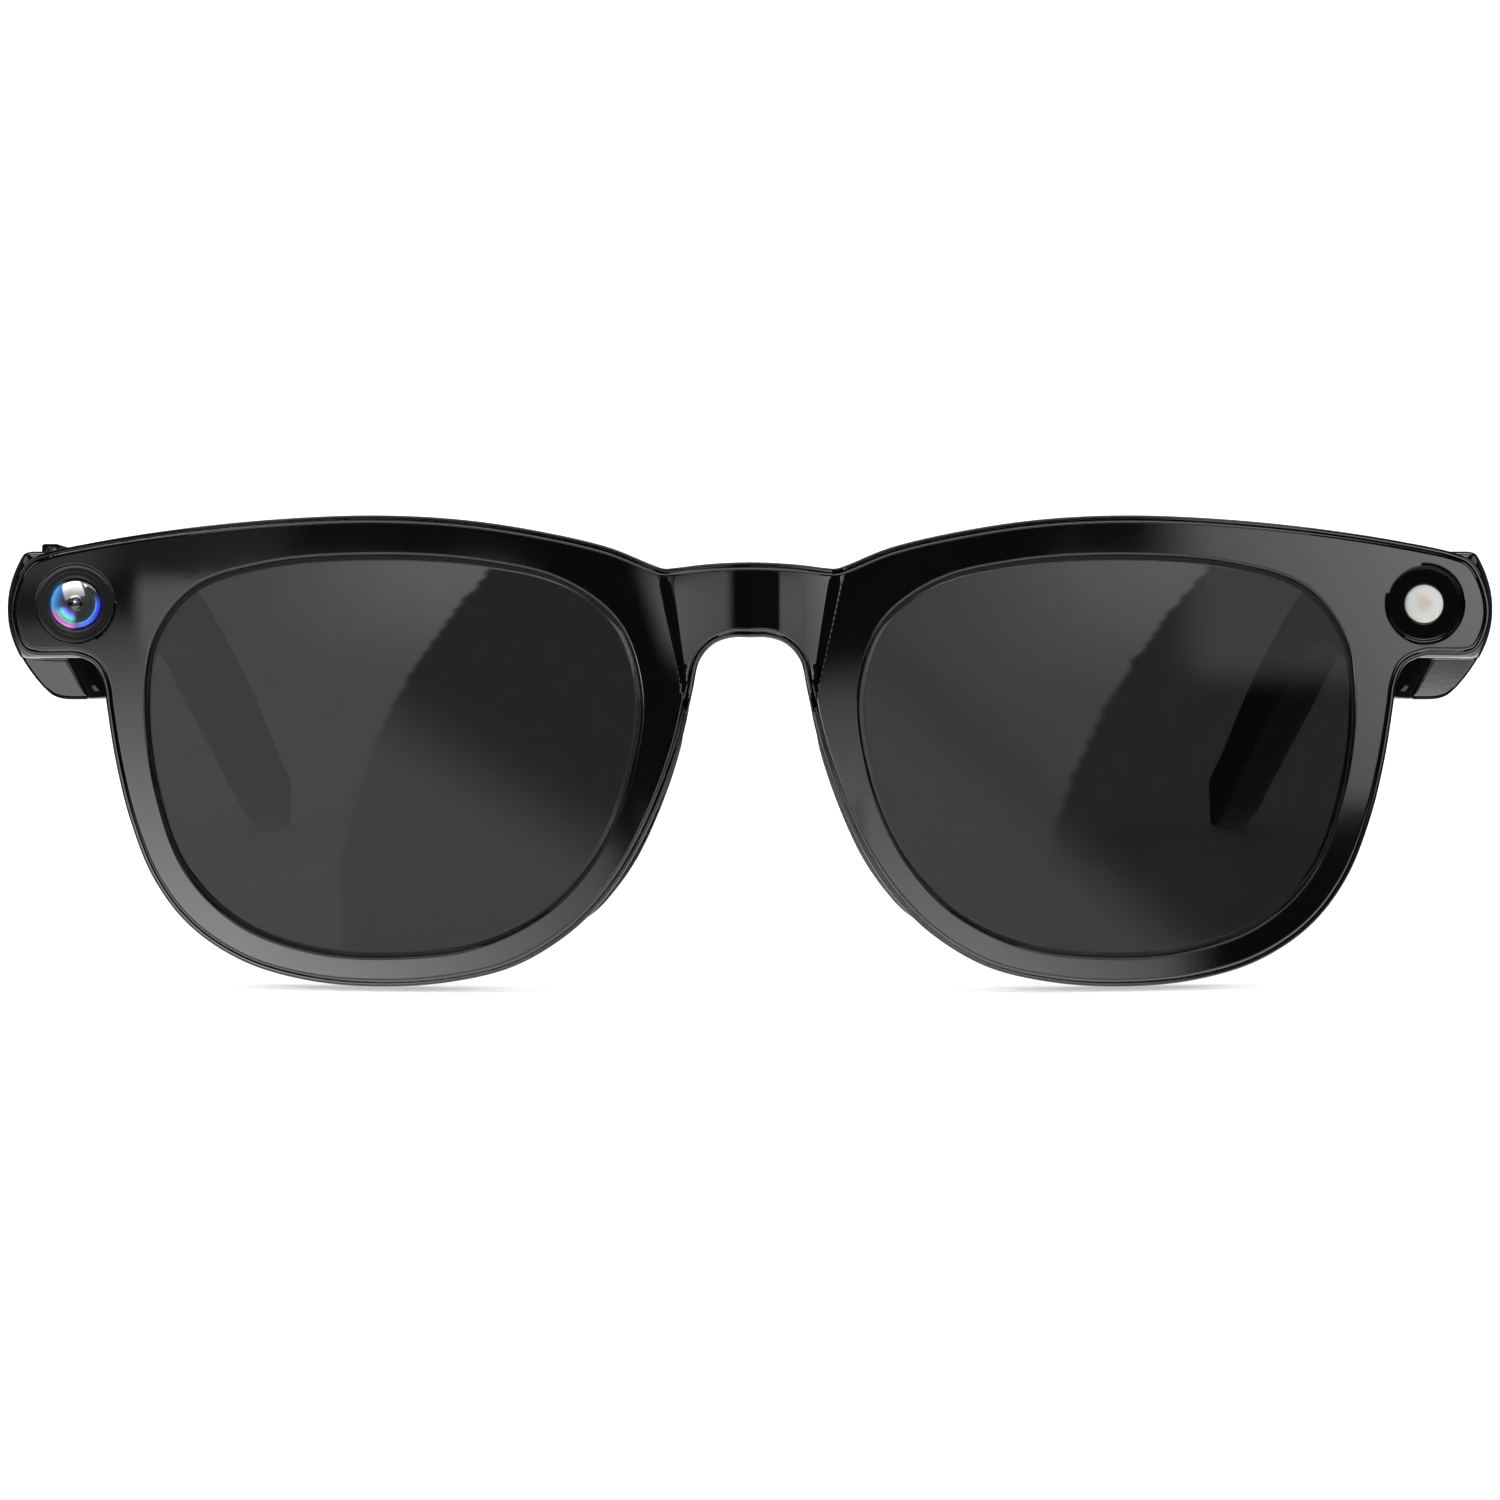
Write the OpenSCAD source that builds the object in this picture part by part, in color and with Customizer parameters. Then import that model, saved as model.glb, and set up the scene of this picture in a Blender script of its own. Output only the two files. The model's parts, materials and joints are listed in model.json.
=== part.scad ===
// Smart glasses with a camera in one end piece and a lamp in the other.
// Everything is drawn in the worn position: +X to the wearer's left, +Y from the
// front towards the ears, +Z up. stand() then leans the whole object back until it
// rests on the two rims and the two temple tips.

/* [Front] */
// Thickness of the front, from the fascia's face to the back of the rims
front_t = 5.0; // [4.9:0.1:5.4]
// Thickness of the fascia plate
fascia_t = 1.5; // [1.3:0.1:1.6]
// How far the fascia's edge lies inside the frame's edge
fascia_inset = 0.5; // [0.4:0.1:0.7]
// How far the fascia stands proud of the frame's lip
fascia_rise = 0.6; // [0.4:0.1:0.8]
// Wrap angle of each rim
wrap = 5; // [4.5:0.5:5.5]
// Radius of each rim in plan
rim_radius = 250; // [240:5:260]
// Radius of the bridge in plan
bridge_radius = 26; // [24:1:30]

/* [Lenses] */
// Thickness of each lens
lens_t = 1.8; // [1.6:0.1:1.9]
// Radius of the lens's spherical front
lens_radius = 130; // [125:1:140]
// How far the lens reaches behind the edge of the opening
lens_lip = 0.7; // [0.5:0.1:0.8]

/* [Camera and lamp] */
// Distance of the camera and the lamp from the middle of the bridge
port_x = 68.3; // [68:0.1:68.6]
// Height of the camera and the lamp
port_z = 14.8; // [14.6:0.1:15]
// Diameter of the round port in the fascia
port_d = 8.2; // [8:0.1:8.4]
// Clear diameter of the camera's cover glass
camera_glass_d = 5.4; // [5:0.1:5.8]
// Diameter of the lamp's diffuser
lamp_d = 3.9; // [3.6:0.1:4.4]

/* [Hinges] */
// Distance of each hinge axis from the middle of the bridge
hinge_x = 67.3; // [67.2:0.1:67.4]
// Distance of each hinge axis behind the bridge
hinge_y = 22.5; // [22.4:0.1:22.6]
// Radius of the hinge pin
pin_r = 0.7; // [0.6:0.05:0.8]
// Radius of the knuckles
knuckle_r = 1.6; // [1.5:0.05:1.65]

/* [Temples] */
// Wall thickness of the temple shells
wall = 1.3; // [1.2:0.05:1.4]
// Width of the shutter button
button_w = 1.9; // [1.7:0.1:2]
// Length of the shutter button
button_l = 9; // [8:0.5:10]
// How far the shutter button stands out
button_rise = 1.1; // [0.8:0.1:1.2]
// Travel of the shutter button
button_travel = 0.5; // [0.3:0.1:0.5]

/* [Hidden] */
RIGHT = -1; // the wearer's right, at -X
LEFT = 1;

$fn = 48;
gap = 0.05; // between parts of one body that only touch
eps = 0.01; // overlap of cutting shapes
tall = 320; // longer than the object is high or deep
crease_x = 8; // where the bridge's curve meets the rims' curve
lens_x = 36; // centre of each lens
lens_z = -0.6;
lens_recess = 0.6; // lens vertex behind the fascia's face
lens_floor = 4.6; // depth of the rebate that holds the lens
end_y = 22.3; // back of the end pieces
temple_y = 22.45; // front of the temples
tip_y = 150.5; // as far back as the plan curves go
block_x = 62.6; // inner side of the end pieces
end_flare = 7; // angle at which the end pieces widen towards the back
notch_x = 69.3; // outer side of the hinge notch
notch_y = 19.4; // floor of the hinge notch in the end pieces
leaf_t = 0.8; // thickness of the hinge leaves
leaf_z = [10.6, 18.6]; // height range of the hinges
leaf_screw_y = [32.6, 35.8]; // screws of the temples' hinge leaves
knuckle_z = [10.6, 13.1, 13.2, 16.0, 16.1, 18.6]; // lower, middle and upper knuckle
port_face_y = 7.1; // front of the camera bezel and the lamp bezel
cover_y = 30; // front end of the temple covers
cover_inset = 0.8; // shell rim that shows round the cover
cover_floor = 67.8; // outer face of the covers beside the hollow
land_x = 66.05; // face of the charging land
land_y = [56, 72]; // length range of the charging land
land_z = [10.6, 15.8]; // height range of the charging land
button_x = 73.6;
button_y = 36;
top_z = 20.6; // top of the temples over the button
flange_z = 18.3; // underside of the button
switch_z = 17.2; // top of the switch's case

// Half of the front's outline, clockwise from the middle of the brow to the middle
// of the bridge's arch: [x, z].
half_outline = [
    [0, 18.8], [4.5, 18.6], [7.6, 18.25], [8.6, 18.2], [9.8, 18.6], [14, 20.3], [21, 21.95],
    [29, 23.15], [37.5, 23.6], [47, 23.3], [57, 22.4], [66, 21.1], [71.6, 19.95], [73.2, 19.2],
    [74.5, 17.2], [75.2, 14.2], [74.7, 11.6], [73.7, 10], [72.6, 9.6], [70, 9.55], [68.3, 9.5],
    [66.3, 8.6], [65.4, 6.6], [65.1, 4.5], [64.2, -1], [62.7, -7], [60.2, -13.1], [56.5, -17.8],
    [51.1, -21.3], [44.5, -23.2], [37.2, -23.8], [30, -23.3], [23.6, -21.7], [18.1, -18.4],
    [14.55, -14.85], [11.75, -10.8], [8.9, -4.9], [6.85, 1.05], [5.75, 6], [5.05, 9],
    [3.7, 10.6], [2, 11.25], [0, 11.3]
];
// Edge of the lens opening on the wearer's left, clockwise: [x, z].
lens_edge = [
    [10.9, 5.5], [13.2, 12.7], [18.6, 16.9], [26.6, 18.9], [37.6, 19.6], [48.7, 18.8],
    [56.1, 16.4], [60, 11.5], [61, 4.5], [59.8, -4.5], [56.8, -12.3], [51.3, -17.6],
    [43.7, -20.3], [35.6, -20.8], [27.6, -19.8], [20.6, -16.4], [15.6, -11], [12.2, -3.5]
];
// Side view of a temple from its top front corner, over the tip, to its bottom front
// corner: [y, z].
temple_side = [
    [temple_y, top_z], [45, top_z], [70, 20.4], [88, 20.1], [98, 19.4], [106, 17.3],
    [115, 12.6], [127, 5.8], [136, 0.9], [143, -2], [148, -3.7], [150.2, -6], [148.5, -8.6],
    [143, -9.4], [137, -8], [130, -4.7], [120, 0.7], [110, 6.3], [103, 10.2], [97, 12.1],
    [90, 12.4], [80, 11.2], [66, 8.7], [52, 6.4], [40, 5.5], [30, 5.4], [temple_y, 5.4]
];
// Outer and inner face of a temple in plan: [y, x].
temple_outer = [
    [temple_y, 77], [40, 76.4], [60, 74.7], [80, 72.2], [95, 70.4], [105, 68.9], [120, 65.9],
    [135, 63.1], [tip_y, 61.2]
];
temple_inner = [
    [temple_y, 66.5], [60, 66.5], [85, 66.1], [97, 65.2], [108, 63.3], [120, 60.7],
    [135, 58.3], [tip_y, 56.8]
];
// Outer face of the end pieces and temples in the front view: [x, z].
section = [
    [40, 26], [74.2, 26], [74.6, 21.2], [75, 20.5], [75.7, 19.4], [76.35, 18], [76.8, 16.5],
    [77, 14.4], [76.8, 12.8], [76.4, 11.3], [75.6, 9.4], [74.6, 7.6], [73.6, 6.3],
    [72.8, 5.65], [71.5, 5.1], [70.9, 3], [70.9, -14], [40, -14]
];
// Hollow of a temple: side view [y, z], plan [x, y] and front view [x, z].
hollow_side = [
    [30.7, 19], [70, 18.8], [87, 18.4], [94, 17.6], [94, 14.3], [80, 13.1], [66, 10.6], [52, 8.3],
    [40, 7.4], [30.7, 7.3]
];
hollow_plan = [[60, 30.7], [74.9, 30.7], [74.3, 45], [73, 60], [70.8, 80], [69.1, 94], [60, 94]];
hollow_section = [[60, 26], [74.4, 26], [75, 15], [74.6, 11], [72.8, 8], [70.6, 7], [60, 7]];
// Middle line of the ribbon cable in the brow, from the bridge to the end piece: [x, z].
flex_line = [
    [0, 15.2], [6, 15.6], [11, 17], [17, 19.4], [25, 21], [36, 21.9], [48, 21.4], [58, 19.9],
    [62.5, 18.2]
];

// ---- Curves ----

function unit(v) = v / norm(v);

// Point at share t between p1 and p2 of a centripetal Catmull-Rom spline.
function spline_point(p0, p1, p2, p3, t) =
    let (
        t1 = sqrt(norm(p1 - p0)),
        t2 = t1 + sqrt(norm(p2 - p1)),
        t3 = t2 + sqrt(norm(p3 - p2)),
        u = t1 + (t2 - t1) * t,
        a1 = ((t1 - u) * p0 + u * p1) / t1,
        a2 = ((t2 - u) * p1 + (u - t1) * p2) / (t2 - t1),
        a3 = ((t3 - u) * p2 + (u - t2) * p3) / (t3 - t2),
        b1 = ((t2 - u) * a1 + u * a2) / t2,
        b2 = ((t3 - u) * a2 + (u - t1) * a3) / (t3 - t1)
    )
    ((t2 - u) * b1 + (u - t1) * b2) / (t2 - t1);

// Closed smooth curve through pts, with steps points to each span.
function closed_curve(pts, steps) =
    let (n = len(pts))
    [for (i = [0:n - 1], j = [0:steps - 1])
        spline_point(pts[(i + n - 1) % n], pts[i], pts[(i + 1) % n], pts[(i + 2) % n], j / steps)];

// Open smooth curve through pts, with both ends included.
function open_curve(pts, steps) =
    let (
        n = len(pts),
        p = concat([2 * pts[0] - pts[1]], pts, [2 * pts[n - 1] - pts[n - 2]])
    )
    concat(
        [for (i = [0:n - 2], j = [0:steps - 1])
            spline_point(p[i], p[i + 1], p[i + 2], p[i + 3], j / steps)],
        [pts[n - 1]]
    );

// A clockwise outline moved inwards by d, or outwards where d is negative.
function inset(pts, d) =
    let (n = len(pts))
    [for (i = [0:n - 1])
        let (
            u = unit(pts[i] - pts[(i + n - 1) % n]),
            v = unit(pts[(i + 1) % n] - pts[i]),
            a = [u[1], -u[0]],
            b = [v[1], -v[0]]
        )
        pts[i] + d * (a + b) / (1 + a * b)];

function swap(pts) = [for (p = pts) [p[1], p[0]]];
function reversed(pts) = [for (i = [len(pts) - 1:-1:0]) pts[i]];
function shifted(pts, d) = [for (p = pts) p + d];
function last(pts) = pts[len(pts) - 1];

// ---- Shapes that the parts share ----

// Depth of the fascia's face at a distance x from the middle of the bridge.
function rim_depth(x) = (x - lens_x) * tan(wrap) + pow(x - lens_x, 2) / (2 * rim_radius);
rim_start = pow(crease_x, 2) / (2 * bridge_radius) - rim_depth(crease_x);
function face_y(x) =
    abs(x) < crease_x ? x * x / (2 * bridge_radius) : rim_start + rim_depth(abs(x));

outline = closed_curve(
    concat(half_outline, [for (i = [len(half_outline) - 2:-1:1]) [-half_outline[i][0], half_outline[i][1]]]),
    2
);
lens_outline = closed_curve(lens_edge, 4);
side_outline = open_curve(temple_side, 3);
outer_curve = open_curve(temple_outer, 4);
inner_curve = open_curve(temple_inner, 4);

// How far the object leans back to stand on its rims and its tips, and its place then.
rim_foot = [face_y(37.2) + front_t, -23.8];
pitch = min([for (p = side_outline) if (p[0] > 100) atan2(p[1] - rim_foot[1], p[0] - rim_foot[0])]);
lift = -min([for (p = outline) p[1] * cos(pitch) - (face_y(p[0]) + front_t) * sin(pitch)]);
front_end = min([for (p = outline) face_y(p[0]) * cos(pitch) + p[1] * sin(pitch)]);
back_end = max([for (p = side_outline) p[0] * cos(pitch) + p[1] * sin(pitch)]);

module stand() {
    translate([0, -(front_end + back_end) / 2, lift]) rotate([-pitch, 0, 0]) children();
}

// Children drawn for the wearer's left, moved to the side asked for.
module on_side(side) {
    mirror([side == RIGHT ? 1 : 0, 0, 0]) children();
}

// A front-view outline of [x, z] points as a prism through the whole depth.
module front_prism(pts) {
    rotate([90, 0, 0]) linear_extrude(tall, center = true) polygon(pts);
}

// A side-view outline of [y, z] points as a prism from x0 to x1.
module side_prism(pts, x0, x1) {
    multmatrix([[0, 0, 1, x0], [1, 0, 0, 0], [0, 1, 0, 0], [0, 0, 0, 1]])
        linear_extrude(x1 - x0) polygon(pts);
}

// A slab that follows the front's curve, between two depths behind the fascia's face.
module front_slab(y0, y1) {
    xs = concat([for (x = [0:2:crease_x]) x], [for (x = [12:4:80]) x]);
    all_x = concat([for (i = [len(xs) - 1:-1:1]) -xs[i]], xs);
    translate([0, 0, -tall / 2])
        linear_extrude(tall)
            polygon(concat([for (x = all_x) [x, face_y(x) + y0]], [for (x = reversed(all_x)) [x, face_y(x) + y1]]));
}

// A round bar along the viewing direction, between depths y0 and y1.
module bar_y(x, z, r, y0, y1) {
    translate([x, y0, z]) rotate([-90, 0, 0]) cylinder(r = r, h = y1 - y0);
}

// A round bar across a temple, between x0 and x1.
module bar_x(y, z, r, x0, x1) {
    translate([x0, y, z]) rotate([0, 90, 0]) cylinder(r = r, h = x1 - x0);
}

// A block between two opposite corners.
module block(a, b) {
    translate(a) cube(b - a);
}

// ---- Front ----

// The end piece behind the brow, drawn for the wearer's left.
module end_block() {
    plan = [
        [block_x, face_y(block_x) + fascia_t], [75.2, face_y(75.2) + fascia_rise + 0.4],
        [76.3, 15], [77, end_y], [notch_x, end_y], [notch_x, notch_y], [block_x, notch_y]
    ];
    intersection() {
        linear_extrude(tall) polygon(plan);
        translate([77, end_y, 0]) rotate([0, 0, -end_flare]) translate([-77, 0, 0]) front_prism(section);
        side_prism([[0, 9.35], [9.5, 9.35], [end_y, 9.35], [end_y, top_z], [9.5, 20.1], [0, 19.8]], block_x, 80);
    }
}

// The lens rebate and the opening behind it.
module lens_cut() {
    difference() {
        front_prism(inset(lens_outline, -lens_lip - gap));
        front_slab(lens_floor, tall / 2);
    }
    front_prism(lens_outline);
}

// Round pocket for the camera or the lamp.
module port_pocket() {
    bar_y(port_x, port_z, port_d / 2 + 0.1, 0, 17.5);
}

module front_frame() {
    color([0.02, 0.02, 0.02])
        difference() {
            union() {
                intersection() {
                    front_slab(fascia_rise, front_t);
                    front_prism(outline);
                }
                for (side = [RIGHT, LEFT]) on_side(side) end_block();
            }
            intersection() {
                front_slab(-5, fascia_t);
                front_prism(inset(outline, fascia_inset - gap));
            }
            intersection() {
                front_slab(0, fascia_t + 0.5);
                front_prism(flex_outline(1.2));
            }
            for (side = [RIGHT, LEFT])
                on_side(side) {
                    lens_cut();
                    port_pocket();
                    front_leaf_body(gap);
                    for (z = [11.5, 17.9]) bar_y(64.4, z, 0.55, 16.4, notch_y);
                }
        }
}

module front_fascia() {
    color([0.01, 0.01, 0.01])
        difference() {
            intersection() {
                front_slab(0, fascia_t);
                front_prism(inset(outline, fascia_inset));
            }
            for (side = [RIGHT, LEFT])
                on_side(side) {
                    front_prism(lens_outline);
                    bar_y(port_x, port_z, port_d / 2, -5, 20);
                }
        }
}

module lens(side) {
    turn = [-sin(wrap), cos(wrap), 0];
    vertex = [lens_x, face_y(lens_x) + lens_recess, lens_z];
    color([0.1, 0.1, 0.1, 0.8])
        on_side(side)
            intersection() {
                front_prism(inset(lens_outline, -lens_lip));
                difference() {
                    translate(vertex + lens_radius * turn) sphere(r = lens_radius, $fn = 200);
                    translate(vertex + lens_radius * turn) sphere(r = lens_radius - lens_t, $fn = 200);
                }
                block([0, -5, -40], [80, 20, 40]);
            }
}

// Pad behind the nose side of a rim.
module nose_pad(side) {
    nose_side = open_curve(
        [[17.4, -18.2], [14.5, -15.25], [11.55, -11.2], [8.73, -5.08], [6.8, 1], [6.35, 4.5]], 4
    );
    rim_side = open_curve(
        [[8.4, 4.8], [10.4, 1], [12.2, -5], [14.6, -10.5], [17.4, -14.6], [18.6, -17.2]], 4
    );
    color([0.03, 0.03, 0.03])
        on_side(side)
            intersection() {
                front_prism(concat(nose_side, rim_side));
                front_slab(front_t, 20);
                side_prism(
                    open_curve([[4, 7], [7.2, 4.5], [9.6, 0], [10.9, -6], [11, -12], [9.6, -16.6], [6.6, -19], [4, -20]], 3),
                    0, 30
                );
            }
}

// The ribbon cable's strip, from one end piece to the other: [x, z].
function flex_outline(half_width) =
    let (
        half = open_curve(flex_line, 2),
        whole = concat([for (i = [len(half) - 1:-1:1]) [-half[i][0], half[i][1]]], half)
    )
    concat(shifted(whole, [0, half_width]), reversed(shifted(whole, [0, -half_width])));

module front_flex_cable() {
    color([0.75, 0.45, 0.1])
        intersection() {
            front_slab(fascia_t + 0.1, fascia_t + 0.35);
            front_prism(flex_outline(0.8));
        }
}

// ---- Camera, at the wearer's right ----

module camera_bezel() {
    color([0.08, 0.08, 0.08])
        on_side(RIGHT)
            difference() {
                bar_y(port_x, port_z, port_d / 2 - gap, port_face_y, port_face_y + 2.4);
                bar_y(port_x, port_z, camera_glass_d / 2 + gap, 0, port_face_y + 0.9);
                bar_y(port_x, port_z, camera_glass_d / 2 - 0.35, 0, 20);
            }
}

module camera_cover_glass() {
    color([0.3, 0.35, 0.6, 0.5])
        on_side(RIGHT)
            bar_y(port_x, port_z, camera_glass_d / 2, port_face_y + 0.15, port_face_y + 0.9);
}

module camera_barrel() {
    color([0.05, 0.05, 0.06])
        on_side(RIGHT)
            difference() {
                union() {
                    bar_y(port_x, port_z, 2.3, port_face_y + 1.1, port_face_y + 2.5);
                    bar_y(port_x, port_z, 3, port_face_y + 2.5, 15);
                }
                bar_y(port_x, port_z, 1.5, 0, port_face_y + 3.4);
                bar_y(port_x, port_z, 1, 0, 14);
            }
}

module camera_lens_element() {
    color([0.15, 0.15, 0.4, 0.6])
        on_side(RIGHT)
            intersection() {
                bar_y(port_x, port_z, 1.5, port_face_y + 1, port_face_y + 3.4);
                translate([port_x, port_face_y + 4.5, port_z]) sphere(r = 2.7);
            }
}

module camera_sensor_board() {
    color([0.1, 0.3, 0.15])
        on_side(RIGHT) {
            block([port_x - 2.8, 15, port_z - 2.8], [port_x + 2.8, 15.8, port_z + 2.8]);
            block([port_x - 1.5, 15.8, port_z - 1.5], [port_x + 1.5, 16.6, port_z + 1.5]);
        }
}

// ---- Lamp, at the wearer's left ----

module lamp_bezel() {
    color([0.02, 0.02, 0.02])
        on_side(LEFT)
            difference() {
                bar_y(port_x, port_z, port_d / 2 - gap, port_face_y, port_face_y + 3);
                bar_y(port_x, port_z, lamp_d / 2 + gap, 0, 20);
            }
}

module lamp_diffuser() {
    color([0.85, 0.84, 0.82])
        on_side(LEFT) {
            bar_y(port_x, port_z, lamp_d / 2, port_face_y + 0.4, port_face_y + 3);
            bar_y(port_x, port_z, lamp_d / 2 + 1, port_face_y + 3, port_face_y + 3.8);
        }
}

module lamp_board() {
    color([0.9, 0.9, 0.85])
        on_side(LEFT)
            bar_y(port_x, port_z, port_d / 2 - 0.3, port_face_y + 3.8, port_face_y + 4.8);
}

// ---- Hinges ----

// The leaf's plate in the end piece, larger by extra for its pocket.
module front_leaf_body(extra) {
    block(
        [block_x + 0.4 - extra, notch_y - leaf_t, leaf_z[0] - extra],
        [68.8 + extra, notch_y + extra, leaf_z[1] + extra]
    );
}

module knuckle(z0, z1, hole_r, web) {
    difference() {
        union() {
            translate([hinge_x, hinge_y, z0]) cylinder(r = knuckle_r, h = z1 - z0);
            translate([0, 0, z0]) linear_extrude(z1 - z0) polygon(web);
        }
        translate([hinge_x, hinge_y, z0 - 1]) cylinder(r = hole_r, h = z1 - z0 + 2);
    }
}

module hinge_front_leaf(side) {
    web = [[hinge_x - 1.5, notch_y - eps], [hinge_x + 1.4, notch_y - eps], [hinge_x + 1.4, hinge_y], [hinge_x - 1.5, hinge_y]];
    color([0.3, 0.3, 0.32])
        on_side(side) {
            difference() {
                front_leaf_body(0);
                for (z = [11.5, 17.9]) bar_y(64.4, z, 0.55, 0, 30);
            }
            knuckle(knuckle_z[0], knuckle_z[1], pin_r, web);
            knuckle(knuckle_z[4], knuckle_z[5], pin_r, web);
        }
}

module hinge_temple_leaf(side) {
    web = [[66.55, hinge_y], [hinge_x + 0.5, hinge_y], [hinge_x + 0.5, 26], [67.3, 29], [66.55, 29]];
    color([0.3, 0.3, 0.32])
        on_side(side) {
            difference() {
                block([66.55, 29 - eps, leaf_z[0] + 0.2], [66.55 + leaf_t, 37, leaf_z[1] - 0.2]);
                for (y = leaf_screw_y) bar_x(y, 14.6, 0.55, 60, 70);
            }
            knuckle(knuckle_z[2], knuckle_z[3], pin_r + 0.05, web);
        }
}

module hinge_pin(side) {
    color([0.45, 0.45, 0.47])
        on_side(side)
            difference() {
                union() {
                    translate([hinge_x, hinge_y, knuckle_z[0]]) cylinder(r = pin_r, h = knuckle_z[5] - knuckle_z[0]);
                    translate([hinge_x, hinge_y, knuckle_z[5]]) cylinder(r = 1.3, h = 0.7);
                }
                translate([hinge_x - 2, hinge_y - 0.15, knuckle_z[5] + 0.4]) cube([4, 0.3, 1]);
            }
}

module hinge_front_screws() {
    color([0.5, 0.5, 0.52])
        for (side = [RIGHT, LEFT], z = [11.5, 17.9])
            on_side(side) {
                bar_y(64.4, z, 0.5, 16.6, notch_y + eps);
                bar_y(64.4, z, 0.95, notch_y, notch_y + 0.4);
            }
}

// ---- Temples ----

// A strip in plan between the inner curve moved out by a and the outer curve moved in by b.
function plan_strip(a, b) =
    concat(shifted(swap(inner_curve), [a, 0]), reversed(shifted(swap(outer_curve), [-b, 0])));

// The whole outside of a temple, with the notch for the hinge.
module temple_body() {
    difference() {
        intersection() {
            side_prism(side_outline, 50, 80);
            translate([0, 0, -20]) linear_extrude(50) polygon(plan_strip(0, 0));
            front_prism(section);
        }
        translate([0, 0, -20])
            linear_extrude(50)
                polygon([[60, 20], [notch_x, 20], [notch_x, 24.4], [66.4, 28.6], [60, 28.6]]);
    }
}

// The cover's own space on the inner face of a temple, larger by extra for its seat.
module cover_space(extra) {
    intersection() {
        side_prism(inset(side_outline, cover_inset - extra), 50, 80);
        translate([0, 0, -20])
            linear_extrude(50)
                polygon(concat(
                    shifted(swap(inner_curve), [-extra, 0]),
                    reversed(shifted(swap(inner_curve), [wall + extra, 0]))
                ));
        block([50, cover_y - extra, -20], [80, tip_y, 30]);
    }
}

// Hollow for the electronics, and a second one for the cell in the tip.
module temple_hollow() {
    intersection() {
        side_prism(hollow_side, cover_floor - 1, 80);
        translate([0, 0, -20]) linear_extrude(50) polygon(hollow_plan);
        front_prism(hollow_section);
    }
    tip_block([-1.6, -4.3, -2.1], [1.05, 12.3, 2.1]);
}

// A block in the tip's own direction, placed from the middle of the tip's hollow.
module tip_block(a, b) {
    translate([64.5, 115, 7.2]) rotate([-29.4, 0, 0]) rotate([0, 0, 11]) block(a, b);
}

// Screws that hold the cover: [y, z].
cover_screws = [[41.5, 8.4], [91.5, 16.2]];

module speaker_slot(extra) {
    translate([69.3, 76, 10.7])
        rotate([10, 0, 0])
            block([-0.8 - extra, -5 - extra, -1.4], [0.8 + extra, 5 + extra, 2.3]);
}

module temple_shell(side) {
    color([0.02, 0.02, 0.02])
        on_side(side)
            difference() {
                temple_body();
                cover_space(gap);
                difference() {
                    temple_hollow();
                    for (s = cover_screws) bar_x(s[0], s[1], 1.7, 60, 80);
                }
                for (s = cover_screws) bar_x(s[0], s[1], 0.6, 60, 71);
                speaker_slot(0);
                leaf_pocket();
                bar_z(70.5, 27.5, 0.4, 0, 9);
                if (side == RIGHT) {
                    block(
                        [button_x - button_w / 2 - 0.1, button_y - button_l / 2 - 0.1, 17.5],
                        [button_x + button_w / 2 + 0.1, button_y + button_l / 2 + 0.1, 30]
                    );
                }
            }
}

// A round bar upwards, between heights z0 and z1.
module bar_z(x, y, r, z0, z1) {
    translate([x, y, z0]) cylinder(r = r, h = z1 - z0);
}

// Room for the temple's hinge leaf and its two screws.
module leaf_pocket() {
    block([60, 28.9, leaf_z[0] + 0.15], [66.55 + leaf_t + gap, 37.05, leaf_z[1] - 0.15]);
    block([60, 20, knuckle_z[2] - 0.2], [67.9, 29.1, knuckle_z[3] + 0.2]);
    for (y = leaf_screw_y) bar_x(y, 14.6, 0.5, 60, 69.2);
}

module temple_cover(side) {
    color([0.03, 0.03, 0.03])
        on_side(side)
            difference() {
                union() {
                    cover_space(0);
                    for (y = leaf_screw_y) bar_x(y, 14.6, 1.2, 67.4, 69.4);
                    if (side == RIGHT)
                        block([land_x, land_y[0], land_z[0]], [67, land_y[1], land_z[1]]);
                }
                leaf_pocket();
                for (s = cover_screws) {
                    bar_x(s[0], s[1], 0.6, 60, 80);
                    bar_x(s[0], s[1], 1.2, 50, 66.9 - (s[0] > 80 ? 0.5 : 0));
                }
                if (side == RIGHT) for (y = contact_y) bar_x(y, 13.2, 0.8, 60, 70);
            }
}

module temple_screws(side) {
    color([0.5, 0.5, 0.52])
        on_side(side) {
            for (s = cover_screws) {
                seat = 66.9 - (s[0] > 80 ? 0.5 : 0);
                bar_x(s[0], s[1], 0.55, seat - eps, 70.6);
                bar_x(s[0], s[1], 1.1, seat - 0.4, seat);
            }
            for (y = leaf_screw_y) {
                bar_x(y, 14.6, 0.45, 66.4, 69);
                bar_x(y, 14.6, 0.9, 66.15, 66.55);
            }
        }
}

module tip_battery(side) {
    color([0.6, 0.6, 0.65])
        on_side(side)
            tip_block([-0.85, -4, -1.8], [0.85, 12, 1.8]);
}

module speaker(side) {
    color([0.2, 0.2, 0.22])
        on_side(side) {
            block([68.2, 74, 13.7], [69.8, 86, 17.9]);
            bar_x(80, 15.8, 1.8, 68, 68.2 + eps);
        }
}

module speaker_mesh(side) {
    color([0.25, 0.25, 0.26])
        on_side(side)
            intersection() {
                speaker_slot(-gap);
                difference() {
                    side_prism(inset(side_outline, 0.15), 60, 80);
                    side_prism(inset(side_outline, 0.55), 50, 90);
                }
            }
}

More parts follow.
